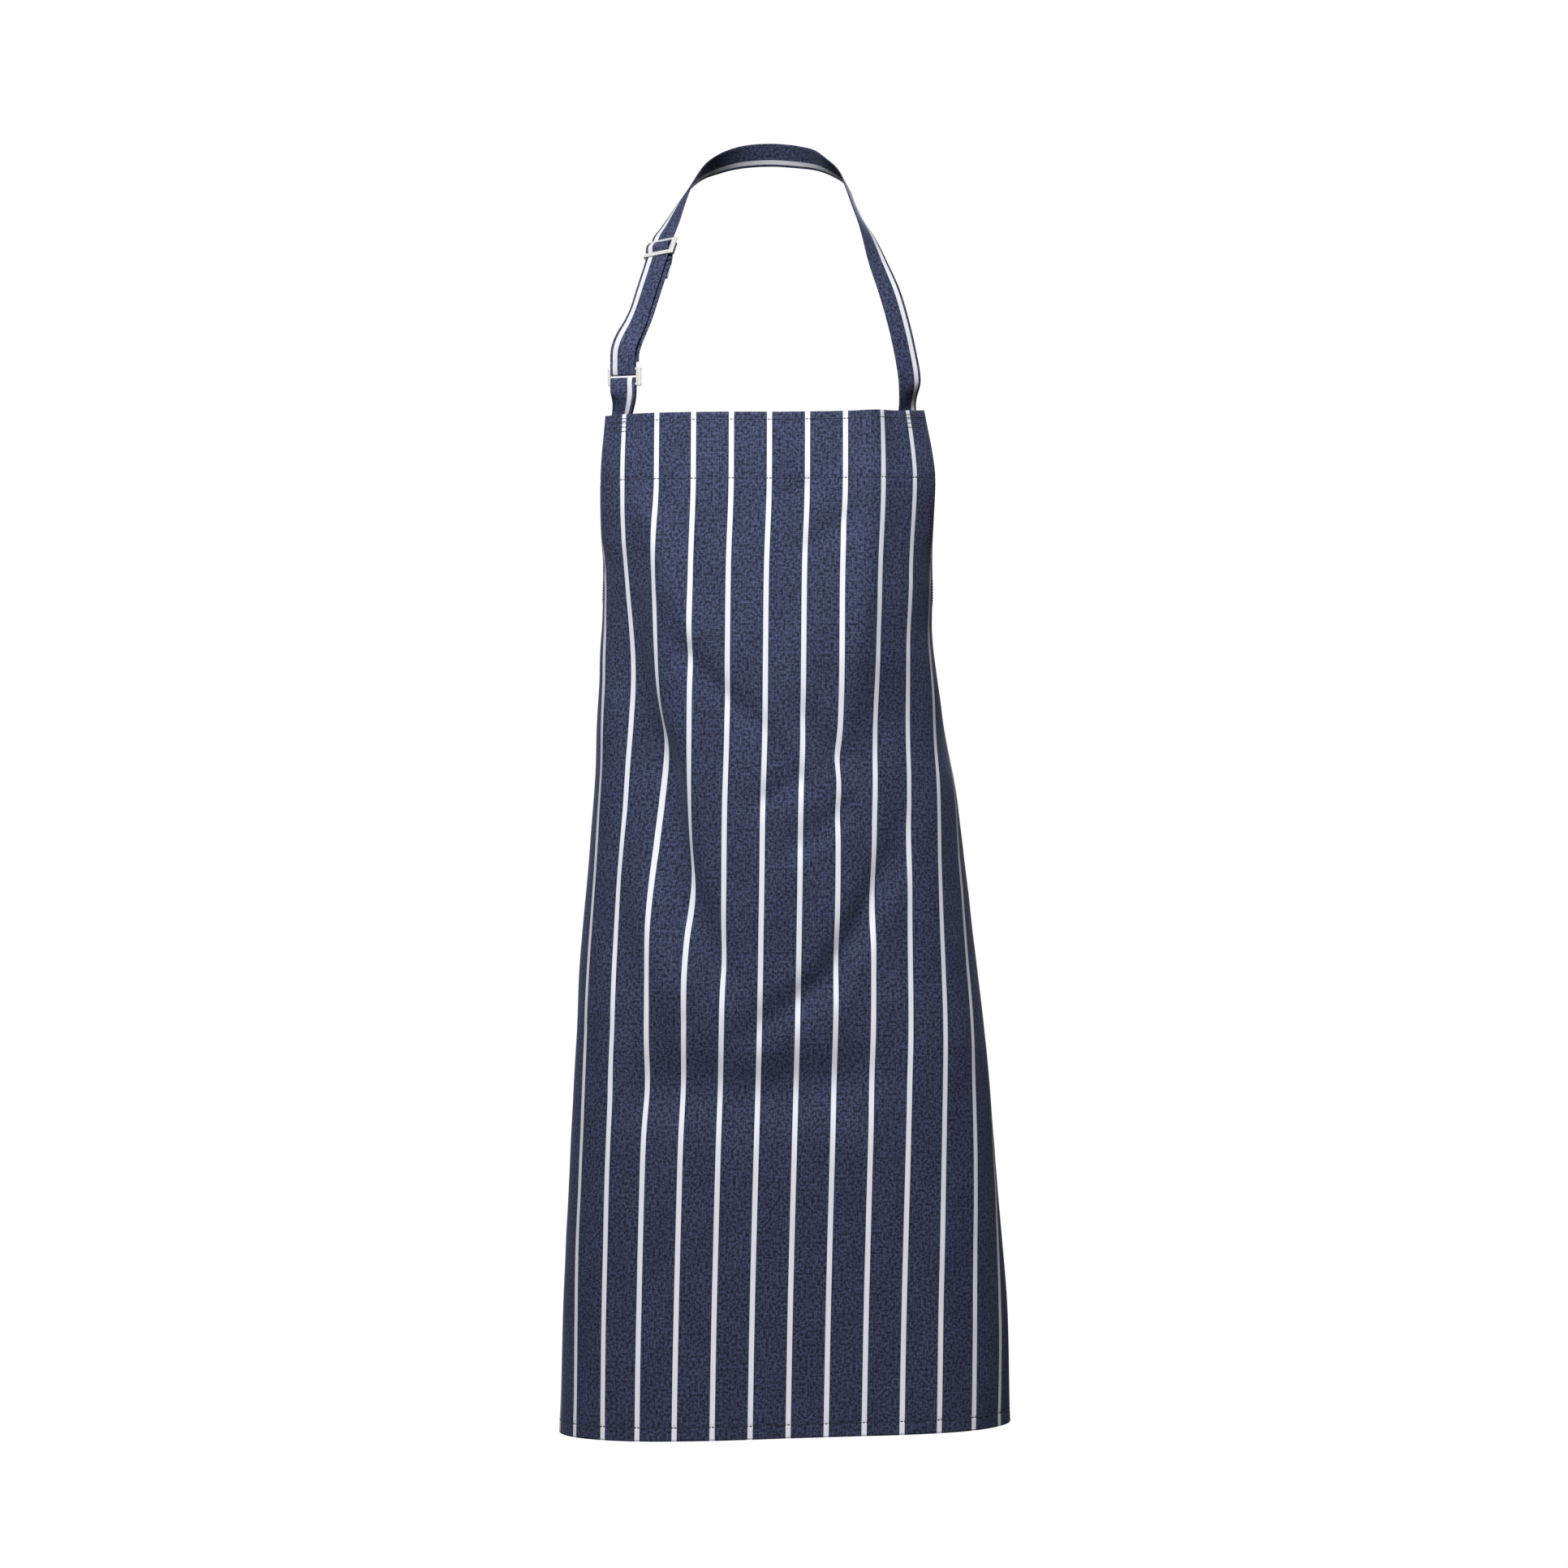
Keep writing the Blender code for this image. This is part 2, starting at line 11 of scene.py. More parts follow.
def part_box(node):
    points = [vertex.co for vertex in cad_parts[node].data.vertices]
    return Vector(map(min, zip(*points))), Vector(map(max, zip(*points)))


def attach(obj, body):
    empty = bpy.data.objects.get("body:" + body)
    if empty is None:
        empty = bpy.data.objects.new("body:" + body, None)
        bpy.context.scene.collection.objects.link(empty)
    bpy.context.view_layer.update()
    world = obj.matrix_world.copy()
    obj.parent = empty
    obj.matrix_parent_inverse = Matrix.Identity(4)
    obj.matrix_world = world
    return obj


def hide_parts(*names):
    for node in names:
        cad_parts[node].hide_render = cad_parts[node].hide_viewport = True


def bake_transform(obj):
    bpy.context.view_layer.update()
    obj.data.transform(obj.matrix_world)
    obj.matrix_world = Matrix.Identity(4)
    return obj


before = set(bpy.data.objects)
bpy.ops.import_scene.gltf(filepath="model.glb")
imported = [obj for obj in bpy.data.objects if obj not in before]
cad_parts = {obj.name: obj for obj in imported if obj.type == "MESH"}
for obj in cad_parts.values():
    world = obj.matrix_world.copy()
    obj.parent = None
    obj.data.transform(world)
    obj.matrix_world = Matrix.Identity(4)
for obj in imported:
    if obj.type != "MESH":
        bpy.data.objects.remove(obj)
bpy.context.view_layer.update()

# ---------------------------------------------------------------- cutting pattern, laid flat, metres
PITCH = 0.03555  # from one woven stripe to the next
HALF_WIDTH = 10 * PITCH  # half the width from the waist down
HALF_BIB = 4.78 * PITCH
LENGTH = 0.965  # bib top to bottom edge
WAIST = 0.262  # from the bib top down to the corners that carry the ties
ARMHOLE_POWER = 4.0
FACING = 0.0635  # depth of the bib's turned top
SIDE_HEM = 0.010
BOTTOM_HEM = 0.0135
HEM_SEWN = 0.0082  # from a side edge in to its stitching
HEM_RISE = 0.0058  # how much its folds lift the bottom edge at the middle; more on the +X side
CLOTH = 0.0006  # thickness of one layer
TURN = 0.00055  # half the space between a hem's two layers
STRIPE = 0.0048  # width of a woven stripe
STITCH_PITCH = 0.0032
STITCH_LONG = 0.0026
STITCH_RADIUS = 0.00040

# ---------------------------------------------------------------- worn shape, by distance down
TOP_Z = -0.268
# Each row under LEVELS gives its measure at these distances down the cloth
LEVELS = (0.0, 0.062, 0.145, 0.22, 0.30, 0.37, 0.46, 0.60, 0.735, 0.85, 0.965)
# Half the worn width seen from the front, and x of its middle
FORM_HALF = (0.1535, 0.158, 0.156, 0.157, 0.165, 0.174, 0.183, 0.195, 0.2045, 0.2115, 0.2155)
FORM_CENTRE = (-0.0045, -0.004, -0.002, 0.000, 0.0025, 0.0055, 0.009, 0.0115, 0.0125, 0.014, 0.0145)
# How far along the cloth, in stripes, that middle falls from the cloth's own, and its y
STRIPE_DRIFT = (-0.13, -0.11, 0.02, 0.10, 0.19, 0.33, 0.46, 0.60, 0.73, 0.85, 0.92)
FRONT_Y = (-0.184, -0.189, -0.194, -0.196, -0.195, -0.194, -0.193, -0.190, -0.186, -0.183, -0.180)
# Higher is flatter in front; then how far round the edges turn at most
ROUNDING = (2.2, 2.25, 2.3, 2.2, 2.0, 2.0, 2.2, 3.0, 3.3, 3.2, 3.0)
WRAP_DEGREES = (150, 150, 150, 152, 152, 151, 150, 150, 150, 150, 150)
# Folds: width in stripes, then a path of (stripes across, distance down, degrees of turn)
FOLDS = (
    (0.42, ((-3.6, 0.12, 0), (-3.6, 0.18, -12), (-3.5, 0.24, -24), (-3.2, 0.28, -26), (-2.6, 0.33, -30),
            (-2.3, 0.41, -22), (-1.8, 0.465, -15), (-1.2, 0.51, -9), (-0.8, 0.56, 0))),
    (0.50, ((-4.7, 0.13, 0), (-4.7, 0.19, 12), (-4.6, 0.24, 26), (-4.4, 0.29, 26), (-4.2, 0.34, 20),
            (-4.2, 0.42, 12), (-4.2, 0.50, 8), (-4.2, 0.58, 0))),
    (0.50, ((1.4, 0.23, 0), (1.6, 0.28, 10), (1.9, 0.32, 14), (2.2, 0.36, 10), (2.5, 0.46, 10),
            (2.6, 0.52, 10), (2.6, 0.60, 0))),
    (0.45, ((3.2, 0.16, 0), (3.1, 0.22, 10), (2.8, 0.28, 10), (2.8, 0.34, 0))),
    (0.50, ((4.5, 0.20, 0), (4.5, 0.28, -10), (4.6, 0.36, -6), (4.6, 0.42, 0))),
    (0.50, ((3.1, -0.01, 18), (3.2, 0.03, 8), (3.2, 0.06, 0))),
)

# ---------------------------------------------------------------- strap, ring, slider, ties
STRAP = 0.0254
STRAP_THICK = 0.0011
BAR = 0.0024
RING_TALL = 0.0165
RING_AT = np.array((-0.1372, -0.1600, -0.2325))
RING_FACE = np.array((-0.38, -0.925, 0.0))
SLIDER_AT = np.array((-0.1047, -0.1060, -0.1054))
SLIDE_DOWN = np.array((-0.235, -0.500, -0.8335))
SLIDE_FACE = np.array((-0.506, -0.669, 0.544))
SLIDER_TALL = 0.0190
RETURN_BACK = 0.0034  # how far the strap's return layer lies behind the main one
STRAP_STRIPE = 0.0052  # from the strap's edge to the middle of its stripe
STRAP_PAINTED_SHADE_START = -0.7  # where the straps begin on the scale down the cloth that sets how bright stripes are; starting low on it paints the straps' stripes darker, as painted shade
# Where the tab begins on the same scale: its stripes are painted darker too, as painted shade
TAB_PAINTED_SHADE_START = -0.5
SLACK = 0.0038  # how loosely the strap and the tab go round the ring's bars
# The strap from the slider round the neck to the bib: places in millimetres, and where its face looks
LEFT_STRAP = (
    (-95, -88, -80, -0.62, -0.50, 0.60),
    (-89, -79, -66, -0.70, -0.30, 0.62),
    (-83, -69, -52, -0.74, -0.12, 0.64),
    (-75, -56, -37, -0.72, 0.08, 0.66),
    (-62, -38, -21, -0.58, 0.38, 0.68),
    (-48, -23, -12, -0.36, 0.64, 0.64),
    (-27, -7, -4, -0.16, 0.78, 0.61),
    (0, 0, -1, 0.00, 0.80, 0.60),
    (27, -8, -4, 0.16, 0.78, 0.61),
    (44, -22, -9, 0.34, 0.66, 0.64),
    (58, -42, -19, 0.55, 0.44, 0.70),
    (72, -78, -38, 0.82, 0.05, 0.56),
    (77, -97, -54, 0.90, -0.15, 0.40),
    (83, -112, -71, 0.91, -0.30, 0.30),
    (92, -127, -92, 0.84, -0.48, 0.26),
    (103, -139, -124, 0.66, -0.72, 0.20),
    (113, -146, -151, 0.55, -0.82, 0.16),
    (121, -150, -179, 0.54, -0.83, 0.12),
    (127, -151, -205, 0.54, -0.83, 0.08),
    (132, -150, -237, 0.54, -0.84, 0.03),
)

UP = np.array((0.0, 0.0, 1.0))
DOWN = -UP
ACROSS = np.array((1.0, 0.0, 0.0))
BACK = np.array((0.0, 1.0, 0.0))
KNOT_WIDE = 0.030
KNOT_TALL = 0.026
BOW_REACH = 0.105
TAIL_LENGTH = 0.44
TAILS_APART = 0.0025  # how far each tail hangs before or behind the middle of the pair
TAILS_BACK = 0.0035  # how far that middle is set back from the knot's middle
TAIL_START = 0.0065

# ---------------------------------------------------------------- colours and light
YARN_DARK = (0.0105, 0.0120, 0.030)
YARN_LIGHT = (0.098, 0.125, 0.245)
STRIPE_EDGE = (0.011, 0.013, 0.03)
STRIPE_WHITE = (0.80, 0.81, 0.87)
STRIPE_PAINTED_LIGHT_TOP = 0.86  # painted light: brightness of the stripes at the bib's top edge, and how it grows with each metre down, the stripes' colour made lighter further down to stand in for how the light falls
STRIPE_PAINTED_LIGHT_GAIN = 0.30
DOT_ACROSS = 0.0031  # the weave's two periods
DOT_DOWN = 0.0027
AMBIENT = 0.06
# Each light: name, place, aim, side of its square and power
LIGHTS = (
    ("key", (-0.32, -1.75, 0.95), (0, -0.15, -0.40), 0.5, 73),
    ("back_rim", (0.8, 2.6, 0.6), (0, 0, -0.6), 1.4, 50),
)
CAMERA_AT = (0.0136, -4.19, -0.615)
CAMERA_LENS = 98.5
FLOOR_AT = (0.01, -0.12, -1.66)
FLOOR_RADIUS = 1.15


def unit(v):
    v = np.asarray(v, float)
    return v / np.linalg.norm(v)


def smooth_between(x, rows, values):
    """A cubic through the values that keeps to their rises and falls."""
    rows, values = np.asarray(rows, float), np.asarray(values, float)
    steps = np.diff(values) / np.diff(rows)
    slopes = np.zeros(len(rows))
    slopes[0], slopes[-1] = steps[0], steps[-1]
    for k in range(1, len(rows) - 1):
        a, b = steps[k - 1], steps[k]
        slopes[k] = 0 if a * b <= 0 else 2 * a * b / (a + b)
    x = min(max(x, rows[0]), rows[-1])
    k = min(int(np.searchsorted(rows, x, "right")) - 1, len(rows) - 2)
    h = rows[k + 1] - rows[k]
    t = (x - rows[k]) / h
    return float(
        (2 * t**3 - 3 * t**2 + 1) * values[k]
        + (t**3 - 2 * t**2 + t) * h * slopes[k]
        + (3 * t**2 - 2 * t**3) * values[k + 1]
        + (t**3 - t**2) * h * slopes[k + 1]
    )


def half_width(v):
    if v >= WAIST:
        return HALF_WIDTH
    return HALF_BIB + (HALF_WIDTH - HALF_BIB) * (v / WAIST) ** ARMHOLE_POWER


def turn_angles(across, side_point, rounding, most):
    """How far the cloth has turned from facing front, in degrees."""
    u = np.abs(across) / side_point
    front = 90 * np.minimum(u, 1) ** rounding
    rate = 90 * rounding / (most - 90)
    behind = (most - 90) * (1 - np.exp(-rate * np.maximum(u - 1, 0)))
    return np.sign(across) * (front + behind)


def fold_angles(across, v):
    total = np.zeros(len(across))
    for width, path in FOLDS:
        stripes, downs, degrees = zip(*path)
        if downs[0] < v < downs[-1]:
            middle = smooth_between(v, downs, stripes) * PITCH
            angle = smooth_between(v, downs, degrees)
            total += angle * np.exp(-(((across - middle) / (width * PITCH)) ** 2))
    return total


def cloth_row(v, across):
    """World points of the cloth's outer face at distance v down, at flat distances across."""
    half, centre, drift, front, rounding, most = (
        smooth_between(v, LEVELS, values)
        for values in (FORM_HALF, FORM_CENTRE, STRIPE_DRIFT, FRONT_Y, ROUNDING, WRAP_DEGREES)
    )
    drift *= PITCH
    reach = half_width(v)
    low, high = 0.12, 0.40
    for _ in range(40):
        side_point = (low + high) / 2
        u = np.linspace(0, min(reach, side_point), 200)
        angles = np.radians(turn_angles(u, side_point, rounding, most))
        if np.sum((np.cos(angles[1:]) + np.cos(angles[:-1])) / 2) * (u[1] - u[0]) > half:
            high = side_point
        else:
            low = side_point
    dense = np.linspace(-HALF_WIDTH - 0.01, HALF_WIDTH + 0.01, 1201)
    angles = turn_angles(dense - drift, side_point, rounding, most) + fold_angles(dense, v)
    cos, sin = np.cos(np.radians(angles)), np.sin(np.radians(angles))
    step = dense[1] - dense[0]
    x = np.concatenate([[0], np.cumsum((cos[1:] + cos[:-1]) / 2) * step])
    y = np.concatenate([[0], np.cumsum((sin[1:] + sin[:-1]) / 2) * step])
    across = np.asarray(across, float)
    x0, y0 = np.interp(drift, dense, x), np.interp(drift, dense, y)
    lift = 0.007 * np.clip(across / HALF_BIB, 0, 1) ** 2 * math.exp(-((v / 0.08) ** 2))
    lift += HEM_RISE * (1 + 1.1 * np.tanh(across / 0.2)) * (v / LENGTH) ** 2
    return np.stack(
        [
            centre + np.interp(across, dense, x) - x0,
            front + np.interp(across, dense, y) - y0,
            np.full(len(across), TOP_Z - v) + lift,
        ],
        axis=1,
    )


CREASE_DEPTH = 1.5  # by how much the heights below are multiplied
# Soft creases along paths of (stripes across, distance down, height in millimetres), each with a width
CREASES = (
    (0.022, ((-3.7, 0.09, 0), (-3.65, 0.19, -3), (-3.3, 0.266, -5), (-2.8, 0.334, -8), (-2.4, 0.402, -9),
             (-1.75, 0.47, -8), (-1.0, 0.522, -5), (-0.5, 0.55, 0))),
    (0.022, ((-3.6, 0.37, 0), (-3.4, 0.43, 3), (-3.0, 0.48, 5), (-2.4, 0.535, 5), (-1.9, 0.57, 0))),
    (0.015, ((3.9, 0.37, 0), (3.5, 0.417, -4), (2.7, 0.478, -6.5), (1.7, 0.534, -6.5), (0.3, 0.570, -5),
             (-1.0, 0.600, 0))),
    (0.034, ((-4.0, 0.620, 0), (-3.0, 0.628, -6), (-1.5, 0.635, -8.5), (0.6, 0.637, -8.5), (2.3, 0.628, -8),
             (3.4, 0.622, -3), (4.2, 0.62, 0))),
    (0.012, ((-2.6, 0.20, 0), (-2.1, 0.225, -3.5), (-1.2, 0.262, -4.5), (0.0, 0.300, -3), (0.6, 0.335, -2.5),
             (0.9, 0.36, 0))),
    (0.013, ((0.6, 0.262, 0), (1.1, 0.285, -4), (2.0, 0.326, -4), (2.5, 0.35, 0))),
    (0.012, ((-0.6, 0.375, 0), (0.1, 0.362, -3), (0.9, 0.345, -3), (1.6, 0.345, 0))),
    (0.013, ((0.2, 0.425, 0), (1.0, 0.405, -2.5), (2.1, 0.375, -2.5), (2.6, 0.36, 0))),
    (0.016, ((2.8, -0.02, 2.5), (2.75, 0.10, 3.2), (2.55, 0.18, 3.8), (2.2, 0.26, 3), (2.1, 0.32, 0))),
    (0.014, ((-3.4, 0.07, 0), (-3.2, 0.10, 3), (-2.6, 0.16, 4), (-1.9, 0.21, 3), (-1.4, 0.25, 0))),
    (0.010, ((-0.4, 0.085, 0), (0.3, 0.078, -1.5), (1.1, 0.07, -1.5), (1.6, 0.07, 0))),
    (0.012, ((0.6, 0.14, 0), (1.2, 0.125, -2), (2.1, 0.10, -2), (2.5, 0.09, 0))),
)


def creases(across, downs):
    """Height of the soft creases over grids of flat places, in metres."""
    total = np.zeros(across.shape)
    for width, path in CREASES:
        best, height = np.full(across.shape, 1e9), np.zeros(across.shape)
        for (s0, v0, h0), (s1, v1, h1) in zip(path[:-1], path[1:]):
            ds, dv = (s1 - s0) * PITCH, v1 - v0
            t = ((across - s0 * PITCH) * ds + (downs - v0) * dv) / (ds * ds + dv * dv)
            t = np.clip(t, 0, 1)
            off = np.hypot(across - s0 * PITCH - ds * t, downs - v0 - dv * t)
            nearer = off < best
            best = np.where(nearer, off, best)
            height = np.where(nearer, h0 + (h1 - h0) * t, height)
        total += CREASE_DEPTH * height / 1000 * np.exp(-((best / width) ** 2))
    return total


def ripple(s, v):
    """Small waves of worn cloth, in metres along its outward direction."""
    a = noise.noise(Vector((s * 9, v * 4.0, 1.7)))
    b = noise.noise(Vector((s * 22 + v * 8, v * 9, 5.1)))
    c = noise.noise(Vector((s * 60, v * 30, 9.3)))
    low = min(1.0, max(0.0, (v - 0.10) / 0.2))
    return (0.0018 * a + 0.0010 * b) * (0.35 + 0.65 * low) + 0.00022 * c


def pucker(s, v, w):
    """Gathers beside the rows of stitching."""
    bottom = math.exp(-(((v - (LENGTH - BOTTOM_HEM)) / 0.007) ** 2))
    facing = math.exp(-(((v - FACING) / 0.006) ** 2))
    top = math.exp(-((v / 0.006) ** 2))
    side = math.exp(-(((w - abs(s)) - SIDE_HEM) ** 2) / 0.006**2)
    along_s = noise.noise(Vector((s * 95, 0.3, 2.2)))
    along_v = noise.noise(Vector((v * 95, 0.8, 4.4)))
    groove = -0.00030 * (math.exp(-(((v - FACING + 0.002) / 0.0012) ** 2)))
    groove -= 0.00035 * (math.exp(-(((v - LENGTH + BOTTOM_HEM - 0.001) / 0.0014) ** 2)))
    return 0.00055 * along_s * (bottom + 0.7 * facing + 0.5 * top) + 0.0006 * along_v * side + groove


class Cloth:
    """The body panel's outer face as a grid, with flat coordinates and outward directions."""

    def __init__(self, rows, columns):
        self.v = np.array(rows)
        self.s = np.array([self.columns_at(v, columns) for v in rows])
        self.p = np.array([cloth_row(v, s) for v, s in zip(rows, self.s)])
        n = self.outward()
        downs = np.repeat(self.v[:, None], self.s.shape[1], axis=1)
        self.p += n * creases(self.s, downs)[:, :, None]
        for r, v in enumerate(rows):
            w = half_width(v)
            for c in range(self.s.shape[1]):
                s = self.s[r, c]
                self.p[r, c] += n[r, c] * (ripple(s, v) + pucker(s, v, w))
        self.n = self.outward()

    @staticmethod
    def columns_at(v, count):
        w = half_width(v)
        middle = np.linspace(-(w - SIDE_HEM), w - SIDE_HEM, count)
        edge = np.linspace(0, SIDE_HEM, 5)[:-1]
        return np.concatenate([-w + edge, middle, (w - edge)[::-1]])

    def outward(self):
        down = np.gradient(self.p, axis=0)
        side = np.gradient(self.p, axis=1)
        n = np.cross(down, side)
        return n / np.linalg.norm(n, axis=2)[:, :, None]

    def at(self, s, v):
        """Point and outward direction at a flat place."""
        r = float(np.interp(v, self.v, np.arange(len(self.v))))
        r0 = min(int(r), len(self.v) - 2)
        out = []
        for grid in (self.p, self.n):
            ends = []
            for k in (r0, r0 + 1):
                ends.append([np.interp(s, self.s[k], grid[k, :, i]) for i in range(3)])
            t = r - r0
            out.append(np.array(ends[0]) * (1 - t) + np.array(ends[1]) * t)
        return out[0], unit(out[1])


def finish_mesh(name, vertices, faces, uvs=None, material=None):
    """An object from raw faces, with flat coordinates in metres as its uv map."""
    mesh = bpy.data.meshes.new(name)
    mesh.from_pydata(np.asarray(vertices, float).tolist(), [], faces)
    if uvs is not None:
        layer = mesh.uv_layers.new(name="flat")
        index = np.zeros(len(mesh.loops), dtype=np.int64)
        mesh.loops.foreach_get("vertex_index", index)
        layer.data.foreach_set("uv", np.asarray(uvs, np.float32)[index].reshape(-1))
    bm = bmesh.new()
    bm.from_mesh(mesh)
    bmesh.ops.recalc_face_normals(bm, faces=bm.faces)
    bm.to_mesh(mesh)
    bm.free()
    mesh.polygons.foreach_set("use_smooth", [True] * len(mesh.polygons))
    if material:
        mesh.materials.append(material)
    made = bpy.data.objects.new(name, mesh)
    bpy.context.collection.objects.link(made)
    return made


def sheet_mesh(name, points, normals, flats, thick, material):
    """A closed thin sheet: points is its outer face."""
    rows, columns = points.shape[:2]
    outer, inner = points.reshape(-1, 3), (points - normals * thick).reshape(-1, 3)
    count = rows * columns
    faces = []
    for r in range(rows - 1):
        for c in range(columns - 1):
            a = r * columns + c
            faces.append((a, a + columns, a + columns + 1, a + 1))
            faces.append((count + a, count + a + 1, count + a + columns + 1, count + a + columns))
    rim = list(range(columns))
    rim += [r * columns + columns - 1 for r in range(1, rows)]
    rim += [(rows - 1) * columns + c for c in range(columns - 2, -1, -1)]
    rim += [r * columns for r in range(rows - 2, 0, -1)]
    for k, a in enumerate(rim):
        b = rim[(k + 1) % len(rim)]
        faces.append((a, b, count + b, count + a))
    uvs = np.concatenate([flats.reshape(-1, 2), flats.reshape(-1, 2)])
    return finish_mesh(name, np.concatenate([outer, inner]), faces, uvs, material)


# ------------------------------------------------------------------------------------ materials


class Nodes:
    """A short way to make and link shader nodes."""

    def __init__(self, name):
        self.material = bpy.data.materials.new(name)
        self.material.use_nodes = True
        self.tree = self.material.node_tree
        self.shader = self.tree.nodes["Principled BSDF"]

    def add(self, kind, **settings):
        node = self.tree.nodes.new(kind)
        for key, value in settings.items():
            setattr(node, key, value)
        return node

    def link(self, output, target):
        self.tree.links.new(output, target)

    def maths(self, operation, a, b=None, c=None, clamp=False):
        node = self.add("ShaderNodeMath", operation=operation, use_clamp=clamp)
        for k, value in enumerate((a, b, c)):
            if value is None:
                continue
            if isinstance(value, (int, float)):
                node.inputs[k].default_value = value
            else:
                self.link(value, node.inputs[k])
        return node.outputs[0]

    def mix(self, share, a, b):
        node = self.add("ShaderNodeMix", data_type="RGBA")
        for socket, value in ((node.inputs[0], share), (node.inputs[6], a), (node.inputs[7], b)):
            if isinstance(value, (int, float)):
                socket.default_value = value
            elif isinstance(value, tuple):
                socket.default_value = (*value, 1)
            else:
                self.link(value, socket)
        return node.outputs[2]


def woven(name):
    """Navy bird's-eye twill with woven pale stripes; flat coordinates are in metres."""
    m = Nodes(name)
    flat = m.add("ShaderNodeUVMap", uv_map="flat")
    parts = m.add("ShaderNodeSeparateXYZ")
    m.link(flat.outputs[0], parts.inputs[0])
    s, v = parts.outputs[0], parts.outputs[1]

    # Bird's-eye weave: a lattice of pale dots on the diagonal
    a = m.maths("MULTIPLY", s, 2 * math.pi / DOT_ACROSS)
    b = m.maths("MULTIPLY", v, 2 * math.pi / DOT_DOWN)
    one = m.maths("SINE", m.maths("ADD", a, b))
    two = m.maths("SINE", m.maths("SUBTRACT", a, b))
    dots = m.maths("MULTIPLY", one, two)
    dots = m.maths("MULTIPLY_ADD", dots, 0.5, 0.5, clamp=True)

    # Uneven yarn
    slub = m.add("ShaderNodeTexNoise", noise_dimensions="2D")
    slub.inputs["Scale"].default_value = 380
    slub.inputs["Detail"].default_value = 3
    m.link(flat.outputs[0], slub.inputs["Vector"])
    cloudy = m.add("ShaderNodeTexNoise", noise_dimensions="2D")
    cloudy.inputs["Scale"].default_value = 28
    cloudy.inputs["Detail"].default_value = 3
    m.link(flat.outputs[0], cloudy.inputs["Vector"])

    share = m.maths("MULTIPLY", dots, m.maths("MULTIPLY_ADD", slub.outputs[0], 3.2, -1.1, clamp=True))
    navy = m.mix(share, YARN_DARK, YARN_LIGHT)
    shade = m.maths("MULTIPLY_ADD", cloudy.outputs[0], 0.5, 0.75)
    dim = m.add("ShaderNodeVectorMath", operation="SCALE")
    m.link(navy, dim.inputs[0])
    m.link(shade, dim.inputs[3])

    # Stripes: distance from the nearest stripe's middle, with edges that follow the yarns
    turn = m.maths("MULTIPLY_ADD", s, 1 / PITCH, 0.5)
    off = m.maths("ABSOLUTE", m.maths("SUBTRACT", m.maths("FRACT", turn), 0.5))
    off = m.maths("MULTIPLY", off, PITCH)
    waver = m.maths("SINE", m.maths("MULTIPLY", v, 2 * math.pi / 0.0011))
    edge = m.maths("MULTIPLY_ADD", waver, 0.00012, STRIPE / 2)
    pale = m.maths("MULTIPLY_ADD", m.maths("SUBTRACT", edge, off), 5000, 0.5, clamp=True)
    outside = m.maths("SUBTRACT", m.maths("ADD", edge, 0.0006), off)
    dark_line = m.maths("MULTIPLY_ADD", outside, 3500, 0.5, clamp=True)
    cord = m.maths("MULTIPLY_ADD", m.maths("SINE", m.maths("MULTIPLY", s, 2 * math.pi / 0.00145)), 0.04, 0.96)
    white = m.add("ShaderNodeVectorMath", operation="SCALE")
    white.inputs[0].default_value = STRIPE_WHITE
    # Painted light: the stripes' colour grows lighter further down the flat coordinate, and starts darker on
    # the straps and the tab
    painted_light = m.maths("MULTIPLY_ADD", v, STRIPE_PAINTED_LIGHT_GAIN, STRIPE_PAINTED_LIGHT_TOP)
    m.link(m.maths("MULTIPLY", cord, painted_light), white.inputs[3])
    ground = m.mix(m.maths("MULTIPLY", dark_line, 0.55), dim.outputs[0], STRIPE_EDGE)
    colour = m.mix(pale, ground, white.outputs[0])
    m.link(colour, m.shader.inputs["Base Color"])

    height = m.maths("MULTIPLY_ADD", pale, 0.8, m.maths("MULTIPLY", dots, 0.5))
    bump = m.add("ShaderNodeBump")
    bump.inputs["Strength"].default_value = 0.35
    bump.inputs["Distance"].default_value = 0.00025
    m.link(height, bump.inputs["Height"])
    m.link(bump.outputs[0], m.shader.inputs["Normal"])
    m.shader.inputs["Roughness"].default_value = 0.88
    m.shader.inputs["Specular IOR Level"].default_value = 0.25
    m.shader.inputs["Sheen Weight"].default_value = 0.12
    m.shader.inputs["Sheen Roughness"].default_value = 0.45
    m.shader.inputs["Sheen Tint"].default_value = (0.55, 0.65, 1.0, 1)
    return m.material


def thread_material(name, colour):
    m = Nodes(name)
    m.shader.inputs["Base Color"].default_value = (*colour, 1)
    m.shader.inputs["Roughness"].default_value = 0.8
    m.shader.inputs["Sheen Weight"].default_value = 0.2
    return m.material


def metal_material():
    m = Nodes("satin_metal")
    place = m.add("ShaderNodeTexCoord")
    stretch = m.add("ShaderNodeMapping")
    stretch.inputs["Scale"].default_value = (400, 400, 60)
    m.link(place.outputs["Object"], stretch.inputs["Vector"])
    grain = m.add("ShaderNodeTexNoise")
    grain.inputs["Scale"].default_value = 4
    m.link(stretch.outputs[0], grain.inputs["Vector"])
    rough = m.maths("MULTIPLY_ADD", grain.outputs[0], 0.18, 0.30)
    m.link(rough, m.shader.inputs["Roughness"])
    m.shader.inputs["Base Color"].default_value = (0.80, 0.79, 0.76, 1)
    m.shader.inputs["Metallic"].default_value = 0.45
    return m.material


CLOTH_LOOK = woven("striped_twill")
DARK_THREAD = thread_material("navy_thread", (0.010, 0.012, 0.028))
PALE_THREAD = thread_material("pale_thread", (0.55, 0.56, 0.62))
METAL_LOOK = metal_material()


# ------------------------------------------------------------------------------- sewing details


